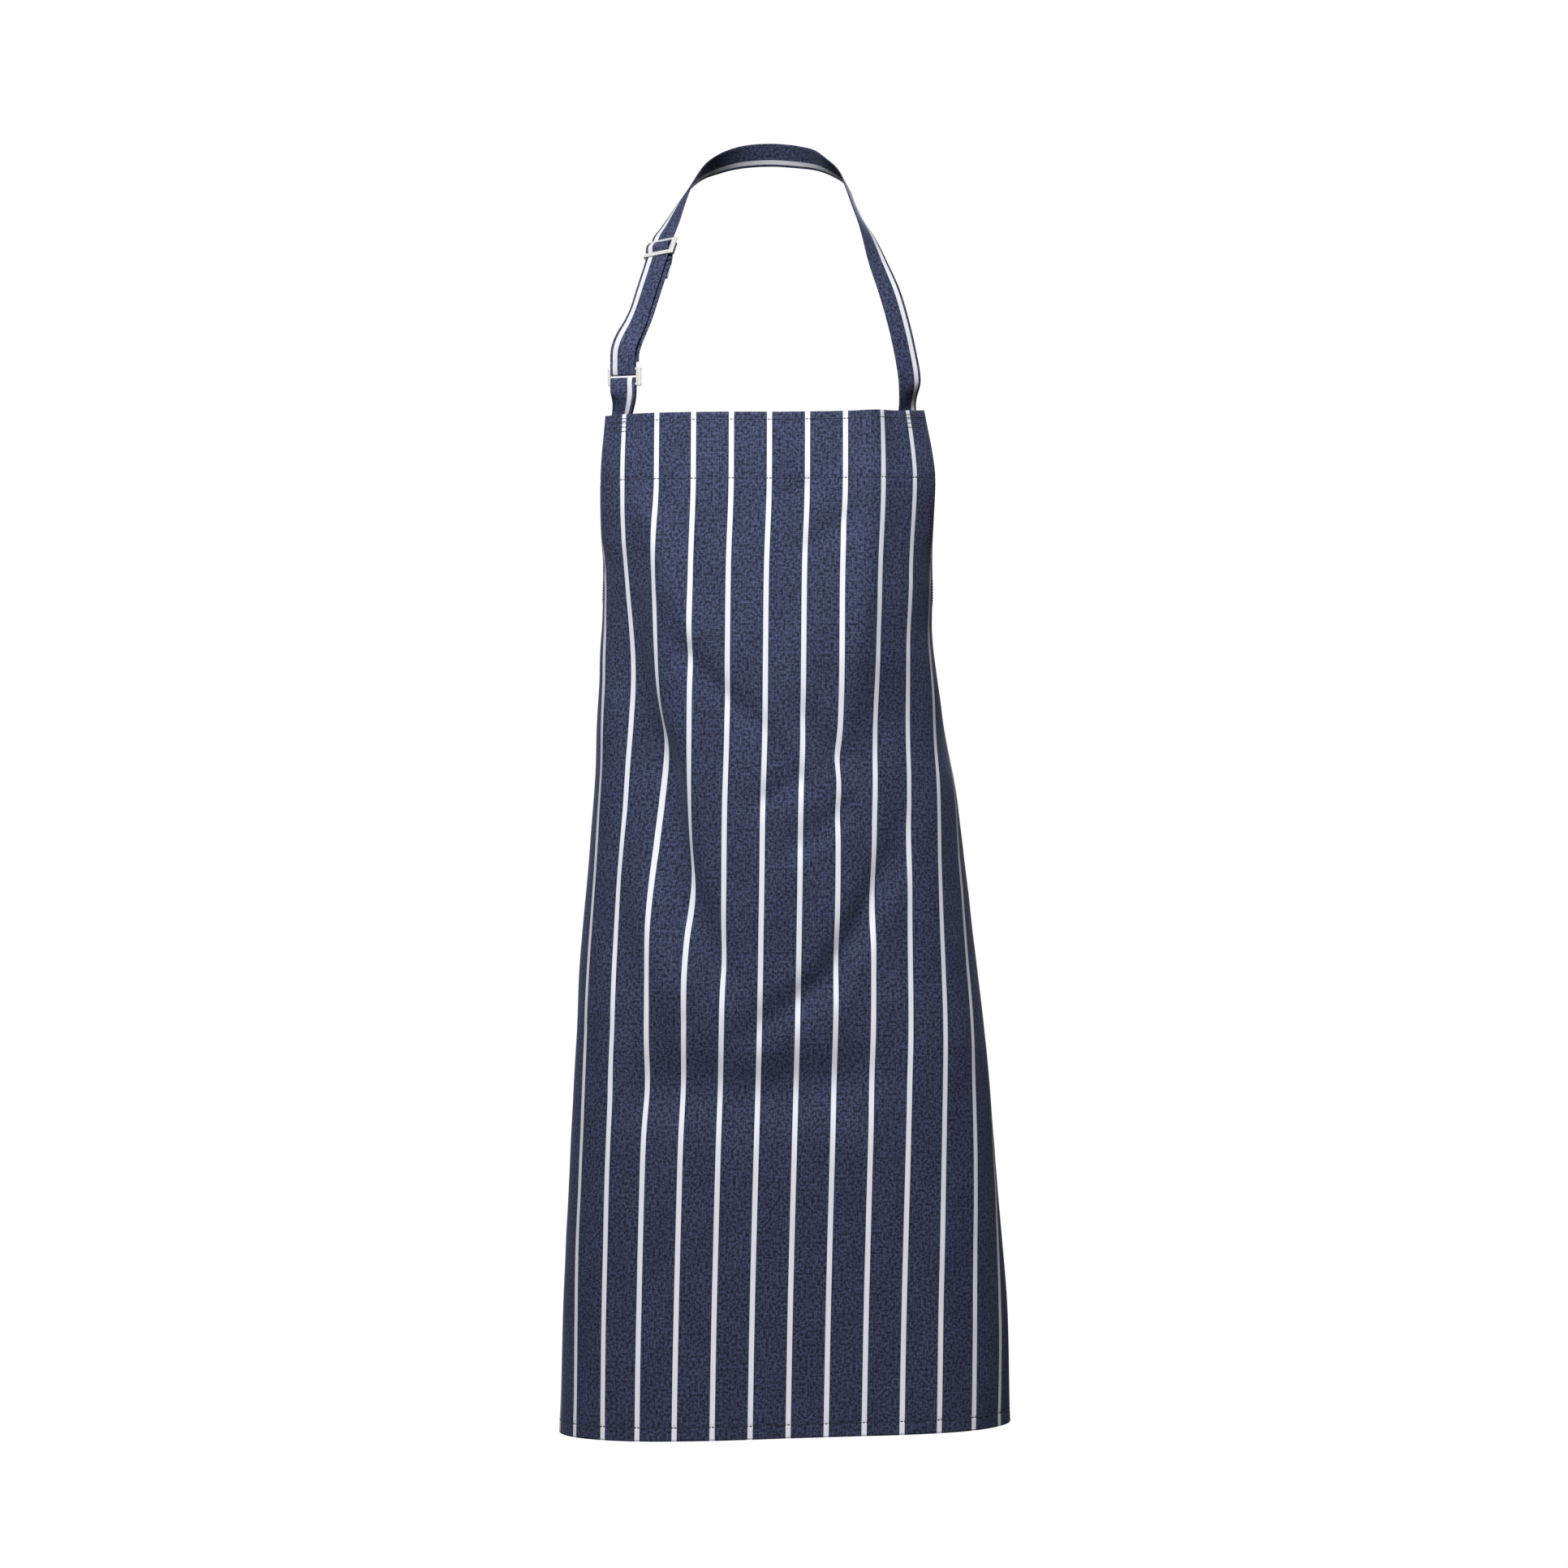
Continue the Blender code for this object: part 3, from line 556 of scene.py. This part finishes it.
def stitches(name, places, body, pitch=STITCH_PITCH, long=STITCH_LONG, radius=STITCH_RADIUS,
             material=None):
    """Short round dashes along a line of (point, outward direction) places."""
    points = np.array([p for p, _ in places])
    outs = np.array([n for _, n in places])
    lengths = np.concatenate([[0], np.cumsum(np.linalg.norm(np.diff(points, axis=0), axis=1))])
    vertices, faces = [], []
    count = int(lengths[-1] / pitch)
    for k in range(count):
        middle = (k + 0.5) * lengths[-1] / count
        ends = []
        for at in (middle - long / 2, middle, middle + long / 2):
            ends.append(np.array([np.interp(at, lengths, points[:, i]) for i in range(3)]))
        out = unit([np.interp(middle, lengths, outs[:, i]) for i in range(3)])
        along = unit(ends[2] - ends[0])
        side = np.cross(along, out)
        base = len(vertices)
        for t, size, rise in ((0, 0.55, -0.3), (0.25, 1, 0.45), (0.75, 1, 0.45), (1, 0.55, -0.3)):
            c = ends[0] * (1 - t) + ends[2] * t + out * radius * rise
            for j in range(6):
                a = math.pi * j / 3
                vertices.append(c + (side * math.cos(a) + out * math.sin(a)) * radius * size)
        for ring in range(3):
            for j in range(6):
                i, n = base + ring * 6, (j + 1) % 6
                faces.append((i + j, i + n, i + 6 + n, i + 6 + j))
        faces.append(tuple(base + j for j in range(5, -1, -1)))
        faces.append(tuple(base + 18 + j for j in range(6)))
    made = finish_mesh(name, vertices, faces, None, material or DARK_THREAD)
    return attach(made, body) if body else made


def spline(stations, spacing=0.006):
    """Smooth rows of numbers through the stations. The first three are a place in metres."""
    rows = np.asarray(stations, float)
    lengths = np.linalg.norm(np.diff(rows[:, :3], axis=0), axis=1)[:, None]
    slopes = np.diff(rows, axis=0) / lengths
    middle = (slopes[:-1] * lengths[1:] + slopes[1:] * lengths[:-1]) / (lengths[1:] + lengths[:-1])
    tangents = np.vstack([slopes[:1], middle, slopes[-1:]])
    out = []
    for k, (length,) in enumerate(lengths):
        pieces = max(1, round(length / spacing))
        for t in np.arange(pieces) / pieces:
            out.append(
                (2 * t**3 - 3 * t**2 + 1) * rows[k]
                + (t**3 - 2 * t**2 + t) * length * tangents[k]
                + (3 * t**2 - 2 * t**3) * rows[k + 1]
                + (t**3 - t**2) * length * tangents[k + 1]
            )
    out.append(rows[-1])
    return np.array(out)


def band(name, centres, faces_out, width=STRAP, thick=STRAP_THICK, start=0.0, shape=None, flip=False):
    """A woven band: a soft-edged strip along centres whose outer face looks along faces_out.

    shape(t) gives (width factor, crease height) at a share t of its length.
    """
    centres = np.asarray(centres, float)
    along = np.gradient(centres, axis=0)
    lengths = np.concatenate([[0], np.cumsum(np.linalg.norm(np.diff(centres, axis=0), axis=1))])
    profile = []
    half, r = width / 2, thick / 2
    stops = np.concatenate([[-half, -half + r * 0.3, -half + r], np.linspace(-half + 0.003, half - 0.003, 9),
                            [half - r, half - r * 0.3, half]])
    for a in stops:
        inset = max(0, abs(a) - (half - r)) / r
        profile.append((a, r * math.sqrt(max(0, 1 - inset**2))))
    ring = [(a, b) for a, b in profile] + [(a, -b) for a, b in profile[-2:0:-1]]
    count = len(ring)
    vertices, uvs = [], []
    for k, (c, t, n) in enumerate(zip(centres, along, faces_out)):
        t = unit(t)
        side = unit(np.cross(t, n))
        n = np.cross(side, t)
        share = lengths[k] / lengths[-1]
        wide, crease = shape(share) if shape else (1, 0)
        for a, b in ring:
            bow = crease * math.cos(math.pi * a / width)
            vertices.append(c + side * a * wide + n * (b + bow))
            from_outer = (half - a) if not flip else (half + a)
            # The second flat coordinate, counted from start, also sets the stripes' painted light and shade
            uvs.append((from_outer - STRAP_STRIPE, start + lengths[k]))
    faces = []
    for k in range(len(centres) - 1):
        for j in range(count):
            n = (j + 1) % count
            faces.append((k * count + j, k * count + n, (k + 1) * count + n, (k + 1) * count + j))
    faces.append(tuple(range(count - 1, -1, -1)))
    last = (len(centres) - 1) * count
    faces.append(tuple(last + j for j in range(count)))
    made = finish_mesh(name, vertices, faces, uvs, CLOTH_LOOK)
    return made, lengths[-1]


def arc_about(centre, start, radius, degrees, steps, lengthwise):
    points, out = [], []
    for k in range(steps + 1):
        a = math.radians(start + degrees * k / steps)
        direction = lengthwise[0] * math.cos(a) + lengthwise[1] * math.sin(a)
        points.append(centre + direction * radius)
        out.append(direction)
    return points, out


# ------------------------------------------------------------------------------------ body panel

row_list = sorted(
    set(np.round(np.concatenate([
        np.linspace(0, 0.012, 9), np.linspace(0.012, FACING - 0.004, 16),
        np.linspace(FACING - 0.004, FACING + 0.004, 9), np.linspace(FACING + 0.004, WAIST, 52),
        np.linspace(WAIST, LENGTH - 0.024, 150), np.linspace(LENGTH - 0.024, LENGTH, 22),
    ]), 6))
)
cloth = Cloth(row_list, 200)
flats = np.stack([cloth.s, np.repeat(cloth.v[:, None], cloth.s.shape[1], axis=1)], axis=2)
panel = sheet_mesh("apron_cloth", cloth.p, cloth.n, flats, CLOTH, CLOTH_LOOK)
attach(panel, "apron")
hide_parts("body_panel")


def turned_edge(name, points, normals, flats, outward, node):
    """A turned hem behind the panel: points[0] is the row on the cloth's edge, going inwards."""
    first, n0 = points[0], normals[0]
    rows_p, rows_n, rows_f = [], [], []
    middle = first - n0 * CLOTH / 2
    reach = TURN + CLOTH / 2
    for k in range(6):
        a = math.pi * (k + 0.6) / 6
        direction = n0 * math.cos(a) + outward * math.sin(a)
        rows_p.append(middle - n0 * TURN + direction * reach)
        rows_n.append(direction)
        rows_f.append(flats[0])
    for p, n, f in zip(points, normals, flats):
        rows_p.append(p - n * (CLOTH / 2 + 2 * TURN + CLOTH / 2))
        rows_n.append(-n)
        rows_f.append(f)
    made = sheet_mesh(name, np.array(rows_p), np.array(rows_n), np.array(rows_f), CLOTH * 0.9, CLOTH_LOOK)
    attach(made, "apron")
    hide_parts(node)
    return made


def rows_between(low, high):
    return [r for r, v in enumerate(cloth.v) if low - 1e-9 <= v <= high + 1e-9]


top_rows = rows_between(0, FACING)
up_way = cloth.p[0] - cloth.p[1]
up_way = up_way / np.linalg.norm(up_way, axis=1)[:, None]
hems = [turned_edge(
    "bib_facing_turn", cloth.p[top_rows], cloth.n[top_rows], flats[top_rows], up_way, "bib_facing")]
low_rows = rows_between(LENGTH - BOTTOM_HEM, LENGTH)[::-1]
down_way = cloth.p[-1] - cloth.p[-2]
down_way = down_way / np.linalg.norm(down_way, axis=1)[:, None]
hems.append(turned_edge(
    "bottom_hem_turn", cloth.p[low_rows], cloth.n[low_rows], flats[low_rows], down_way, "bottom_hem"))
for side, cols in (("left", [0, 1, 2, 3, 4]), ("right", [-1, -2, -3, -4, -5])):
    for part, rows in (("armhole", rows_between(FACING + 0.003, WAIST)),
                       ("side", rows_between(WAIST, LENGTH - BOTTOM_HEM - 0.002))):
        p = cloth.p[rows][:, cols].transpose(1, 0, 2)
        n = cloth.n[rows][:, cols].transpose(1, 0, 2)
        f = flats[rows][:, cols].transpose(1, 0, 2)
        out = p[0] - p[1]
        out = out / np.linalg.norm(out, axis=1)[:, None]
        hems.append(turned_edge(f"{part}_turn_{side}", p, n, f, out, f"{part}_hem_{side}"))

for name, v, inset in (("top_stitching", 0.0062, 0.004), ("facing_stitching", FACING - 0.002, 0.003),
                       ("hem_stitching", LENGTH - BOTTOM_HEM + 0.0012, 0.003)):
    w = half_width(v) - inset
    count = int(2 * w / STITCH_PITCH)
    places = [cloth.at(s, v) for s in np.linspace(-w, w, count)]
    stitches(name, places, "apron")
    back_places = [(p - n * (2 * CLOTH + 2 * TURN), -n) for p, n in places]
    stitches(name + "_back", back_places, "apron")
for sign, side in ((-1, "left"), (1, "right")):
    for part, low, high in (("armhole", FACING, WAIST), ("side", WAIST, LENGTH - BOTTOM_HEM)):
        places = [cloth.at(sign * (half_width(v) - HEM_SEWN), v)
                  for v in np.linspace(low, high, int((high - low) / 0.003))]
        stitches(f"{part}_stitching_{side}", places, "apron")
        back_places = [(p - n * (2 * CLOTH + 2 * TURN), -n) for p, n in places]
        stitches(f"{part}_stitching_{side}_back", back_places, "apron")

# ------------------------------------------------------------------------------ strap and its end

up = -unit(SLIDE_DOWN)
side = unit(np.cross(up, SLIDE_FACE))
face = unit(np.cross(side, up))
ring_face = unit(RING_FACE)
ring_side = unit(np.cross(UP, ring_face))
top_bar = RING_AT + UP * (RING_TALL - BAR) / 2
bottom_bar = RING_AT - UP * (RING_TALL - BAR) / 2
wrap = BAR / 2 + STRAP_THICK / 2 + 0.0002
fold_top = top_bar + UP * 0.0085
behind_top = fold_top - ring_face * wrap * 1.3 + UP * 0.004 + ring_side * 0.0012


def behind_cloth(stripe, v, depth):
    p, n = cloth.at(stripe * PITCH, v)
    return p - n * depth, n


# One strap: back layer by the ring, round the ring, up the front, round the neck, down to the bib
turn_points, turn_out = arc_about(top_bar - UP * SLACK, 180, wrap, 180, 10, (ring_face, UP))
stations = [(*behind_top, *(-ring_face))]
stations += [(*(fold_top - ring_face * wrap), *(-ring_face))]
for p, n in zip(turn_points, turn_out):
    stations.append((*p, *n))
start = fold_top + ring_face * wrap
low = SLIDER_AT - up * 0.072
stations += [(*start, *ring_face), (*(start + UP * 0.005), *ring_face)]
stations.append((*(low - up * 0.016 + face * 0.0008), *unit(face + ring_face)))
stations += [(*(SLIDER_AT + up * t), *face) for t in (-0.072, -0.048, -0.024, 0.0, 0.0105, 0.0130)]
stations += [(x / 1000, y / 1000, z / 1000, a, b, c) for x, y, z, a, b, c in LEFT_STRAP]
for v in (0.0, 0.022, 0.046):
    p, n = behind_cloth(4.12, v, 0.0046)
    stations.append((*p, *n))
run = spline(stations, 0.0025)
strap, strap_length = band("neck_strap_cloth", run[:, :3], run[:, 3:], start=STRAP_PAINTED_SHADE_START, flip=True)
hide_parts("neck_strap", "strap_fold")
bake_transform(strap)

# Return layer, up to the slider; it lies a little to the inner side of the main run
shift = side * 0.0030
low_end = behind_top - UP * 0.0055 - ring_face * 0.0009 + ring_side * 0.0006
stations = [(*low_end, *ring_face), (*(low_end + UP * 0.005), *ring_face)]
stations += [
    (*(SLIDER_AT + up * t - face * RETURN_BACK + shift), *face) for t in (-0.084, -0.066, -0.040, -0.0160)
]
run = spline(stations, 0.0025)
back_run, return_length = band(
    "strap_return_cloth", run[:, :3], run[:, 3:], thick=0.0009, start=STRAP_PAINTED_SHADE_START, flip=True)
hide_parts("strap_return")
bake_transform(back_run)

# The strap's end round the slider's middle bar, with its tail sewn down by a zigzag
bar_back = RETURN_BACK + 0.0002
centre = SLIDER_AT - face * bar_back
end_turn, end_out = arc_about(centre, -40, wrap, 220, 12, (face, up))
lead = [
    SLIDER_AT + up * t - face * RETURN_BACK + shift * k
    for t, k in ((-0.0160, 1), (-0.010, 0.5), (-0.0055, 0))
]
sewn_back = RETURN_BACK + 0.0016
tail_run = [
    SLIDER_AT + up * t - face * sewn_back + shift * k
    for t, k in ((-0.0040, 0), (-0.009, 0.5), (-0.016, 1), (-0.024, 1.15), (-0.032, 1.3), (-0.036, 1.35))
]
end_path = lead + end_turn + tail_run
end_faces = [face] * 3 + end_out + [-face] * 6
run = spline([(*p, *n) for p, n in zip(end_path, end_faces)], 0.0015)
end_loop, end_length = band(
    "strap_end_cloth", run[:, :3], run[:, 3:], thick=0.0009, start=STRAP_PAINTED_SHADE_START, flip=True)
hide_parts("strap_end_loop")
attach(end_loop, "slider")
zigzag = []
for k in range(17):
    a = -0.0122 + 0.0244 * k / 16
    t = -0.0295 + (0.0035 if k % 2 else -0.0035)
    zigzag.append((SLIDER_AT + up * t - face * (sewn_back + 0.0005) + shift * 1.2 + side * a, -face))
end_tack = stitches("end_loop_stitching", zigzag, "slider", pitch=0.0024, long=0.0020, material=PALE_THREAD)
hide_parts("end_loop_tack")
edge_threads = []
for k in range(9):
    t = -0.0205 - 0.0018 * k
    out_by = 0.0004 + (0.0008 if k % 2 else 0.0)
    spot = SLIDER_AT + up * t - face * (RETURN_BACK + 0.0005) + shift * 1.15 + side * (STRAP / 2 + out_by)
    edge_threads.append((spot, unit(face + side)))
stitches("end_loop_frays", edge_threads, "slider", pitch=0.0021, long=0.0024, radius=0.00032,
         material=PALE_THREAD)

# The strap bulging between the slider's bars, over its middle bar
bulge_low, bulge_high = -SLIDER_TALL / 2 + 0.0038, SLIDER_TALL / 2 - 0.0018
bulge_run, bulge_out = [], []
for t in np.linspace(0, 1, 15):
    rise = math.sin(math.pi * t)
    height = bulge_low + (bulge_high - bulge_low) * t
    bulge_run.append(SLIDER_AT + up * height + face * (0.0009 + 0.0030 * rise**0.8) - side * 0.0008 * rise)
    bulge_out.append(unit(face - up * 0.5 * math.cos(math.pi * t)))
bulge, bulge_length = band(
    "slider_strap_bulge", bulge_run, bulge_out, thick=0.0009, start=STRAP_PAINTED_SHADE_START, flip=True)
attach(bulge, "slider")

# Tab that holds the ring
stripe = -4.22
front = [behind_cloth(stripe, v, 0.0040) for v in (0.042, 0.020, 0.003)]
rear = [behind_cloth(stripe, v, 0.0056) for v in (0.003, 0.020, 0.042)]
points, out = arc_about(bottom_bar + UP * SLACK, 0, wrap, 180, 10, (ring_face, UP))
high = bottom_bar - UP * 0.008
stations = [(*p, *n) for p, n in front] + [(*(high + ring_face * wrap), *ring_face)]
stations += [(*p, *n) for p, n in zip(points, out)]
stations += [(*(high - ring_face * wrap), *(-ring_face))] + [(*p, *(-n)) for p, n in rear]
run = spline(stations, 0.002)
tab, tab_length = band("ring_tab_cloth", run[:, :3], run[:, 3:], thick=0.0010, start=TAB_PAINTED_SHADE_START, flip=False)
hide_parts("ring_tab")
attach(tab, "apron")

for name in ("ring", "slider"):
    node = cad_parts[name]
    node.data.materials.clear()
    node.data.materials.append(METAL_LOOK)


def tack_rows(name, stripe, node):
    """Rows of close stitching through the bib's corner, seen on the front."""
    made = []
    for k, v in enumerate((0.0035, 0.0075, 0.0115, 0.0155)):
        places = [cloth.at((stripe + a) * PITCH, v) for a in np.linspace(-0.31, 0.31, 18)]
        made.append(stitches(f"{name}_{k}", places, "apron", pitch=0.0019, long=0.0015))
    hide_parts(node)
    return made


tack_rows("tab_tack_row", -4.22, "tab_tack")
tack_rows("strap_tack_row", 4.12, "strap_tack")

# --------------------------------------------------------------------------------- ties and bow

knot_lo, knot_hi = (np.array(c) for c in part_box("tie_knot"))
knot = (knot_lo + knot_hi) / 2


def pinch(t, depth=0.55, reach=0.22, crease=0.0035):
    """Narrow and creased where the band comes out of the knot."""
    near = math.exp(-((t / reach) ** 2))
    return 1 - depth * near, crease * near


for sign, name in ((-1, "left"), (1, "right")):
    stations = []
    for stripe in (9.15, 9.5, 9.85):
        p, n = behind_cloth(sign * stripe, WAIST + 0.020, 0.0032)
        stations.append((*p, *n))
    edge = np.array(stations[-1][:3])
    target = knot + ACROSS * sign * (KNOT_WIDE / 2 - 0.004)
    for t in (0.35, 0.7):
        p = edge + (target - edge) * t + DOWN * 0.004
        stations.append((*p, *unit(np.array(stations[-1][3:]) * (1 - t) + BACK * t)))
    stations += [(*(target + ACROSS * sign * 0.004), *BACK), (*target, *BACK)]
    run = spline(stations, 0.002)
    tie, tie_length = band(f"tie_{name}_cloth", run[:, :3], run[:, 3:], thick=0.0010,
                           shape=lambda t: pinch(1 - t, 0.5, 0.2))
    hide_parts(f"tie_{name}")
    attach(tie, "apron")
    places = []
    for stripe in np.linspace(9.2, 9.75, 8):
        p, n = cloth.at(sign * stripe * PITCH, WAIST + 0.0125)
        places.append((p, n))
    tacks = stitches(f"tie_tack_{name}_rows", places, "apron", pitch=0.0022, long=0.0017)
    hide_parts(f"tie_tack_{name}")
    places = [cloth.at(sign * s * PITCH, WAIST + 0.0275) for s in np.linspace(9.2, 9.75, 8)]
    stitches(f"tie_tack_{name}_low", places, "apron", pitch=0.0022, long=0.0017)

    droop = math.radians(24)
    out_way = ACROSS * sign * math.cos(droop) + DOWN * math.sin(droop)
    loop, facing = [], []
    for t in np.linspace(0, 1, 61):
        a = 2 * math.pi * t
        r = BOW_REACH * math.sin(a / 2) ** 0.9 if 0 < t < 1 else 0
        lift = 0.010 * math.sin(a)
        loop.append(knot + out_way * (KNOT_WIDE / 2 - 0.005 + r) + BACK * (0.003 + lift) + DOWN * 0.002)
    loop = np.array(loop)
    width_way = unit(np.cross(out_way, BACK))
    facing = [unit(np.cross(t, width_way)) for t in np.gradient(loop, axis=0)]
    bow, bow_length = band(f"bow_loop_{name}_cloth", loop, facing, thick=0.0010,
                           shape=lambda t: pinch(min(t, 1 - t), 0.5, 0.13, 0.002))
    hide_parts(f"bow_loop_{name}")
    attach(bow, "apron")

    start = knot + ACROSS * sign * 0.008 + DOWN * (KNOT_TALL / 2 - 0.0085)
    tail = []
    for t in np.linspace(0, 1, 120):
        wave = 0.004 * math.sin(2 * math.pi * (1.1 * t + 0.3))
        tail.append(
            start + DOWN * (TAIL_START + TAIL_LENGTH * t * (1 if sign < 0 else 0.93))
            + ACROSS * sign * (0.008 + 0.030 * t)
            + BACK * (wave * min(1, 3 * t) + TAILS_BACK - sign * TAILS_APART)
        )
    facing = [unit(BACK + ACROSS * 0.07 * math.sin(5 * t + sign)) for t in np.linspace(0, 1, 120)]
    hanging, tail_length = band(f"tie_tail_{name}_cloth", tail, facing, thick=0.0010,
                                shape=lambda t: pinch(t, 0.5, 0.06))
    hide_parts(f"tie_tail_{name}")
    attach(hanging, f"tail_{name}")

turns = []
for t in np.linspace(0, 1, 33):
    a = 2 * math.pi * t
    turns.append(knot + BACK * 0.0085 * math.sin(a) + UP * 0.0125 * math.cos(a))
facing = [unit(p - knot) for p in turns]
knot_band, knot_length = band("knot_cloth", turns, facing, width=0.024, thick=0.0016,
                              shape=lambda t: (1 - 0.12 * math.cos(4 * math.pi * t), 0.002))
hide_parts("tie_knot")
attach(knot_band, "apron")

# ----------------------------------------------------------------------- floor, light and camera

floor_mesh = bpy.data.meshes.new("floor")
bm = bmesh.new()
bmesh.ops.create_circle(bm, cap_ends=True, segments=96, radius=FLOOR_RADIUS)
bm.to_mesh(floor_mesh)
bm.free()
floor = bpy.data.objects.new("floor", floor_mesh)
floor.location = FLOOR_AT
bpy.context.collection.objects.link(floor)
paper = Nodes("paper")
paper.shader.inputs["Base Color"].default_value = (0.92, 0.92, 0.92, 1)
paper.shader.inputs["Roughness"].default_value = 0.9
place = paper.add("ShaderNodeTexCoord")
reach = paper.add("ShaderNodeVectorMath", operation="LENGTH")
paper.link(place.outputs["Object"], reach.inputs[0])
# The floor fades out towards its rim
fade = paper.maths("MULTIPLY_ADD", reach.outputs["Value"], -1.6, 1.75, clamp=True)
paper.link(paper.maths("MULTIPLY", fade, fade), paper.shader.inputs["Alpha"])
floor_mesh.materials.append(paper.material)

world = bpy.data.worlds.new("studio")
bpy.context.scene.world = world
world.use_nodes = True
tree = world.node_tree
seen = tree.nodes["Background"]
seen.inputs["Color"].default_value = (1, 1, 1, 1)
seen.inputs["Strength"].default_value = 1.0
soft = tree.nodes.new("ShaderNodeBackground")
soft.inputs["Color"].default_value = (1, 1, 1, 1)
soft.inputs["Strength"].default_value = AMBIENT
path = tree.nodes.new("ShaderNodeLightPath")
choose = tree.nodes.new("ShaderNodeMixShader")
tree.links.new(path.outputs["Is Camera Ray"], choose.inputs[0])
tree.links.new(soft.outputs[0], choose.inputs[1])
tree.links.new(seen.outputs[0], choose.inputs[2])
tree.links.new(choose.outputs[0], tree.nodes["World Output"].inputs["Surface"])


def area_light(name, place, aim, size, power):
    data = bpy.data.lights.new(name, "AREA")
    data.shape = "SQUARE"
    data.size = size
    data.energy = power
    lamp = bpy.data.objects.new(name, data)
    lamp.location = place
    lamp.rotation_euler = (Vector(aim) - Vector(place)).to_track_quat("-Z", "Y").to_euler()
    bpy.context.collection.objects.link(lamp)


for light in LIGHTS:
    area_light(*light)

camera_data = bpy.data.cameras.new("camera")
camera_data.lens = CAMERA_LENS
camera_data.sensor_width = 36
camera = bpy.data.objects.new("camera", camera_data)
camera.location = CAMERA_AT
camera.rotation_euler = (math.radians(90), 0, 0)
bpy.context.collection.objects.link(camera)
bpy.context.scene.camera = camera
bpy.context.scene.view_settings.view_transform = "Standard"
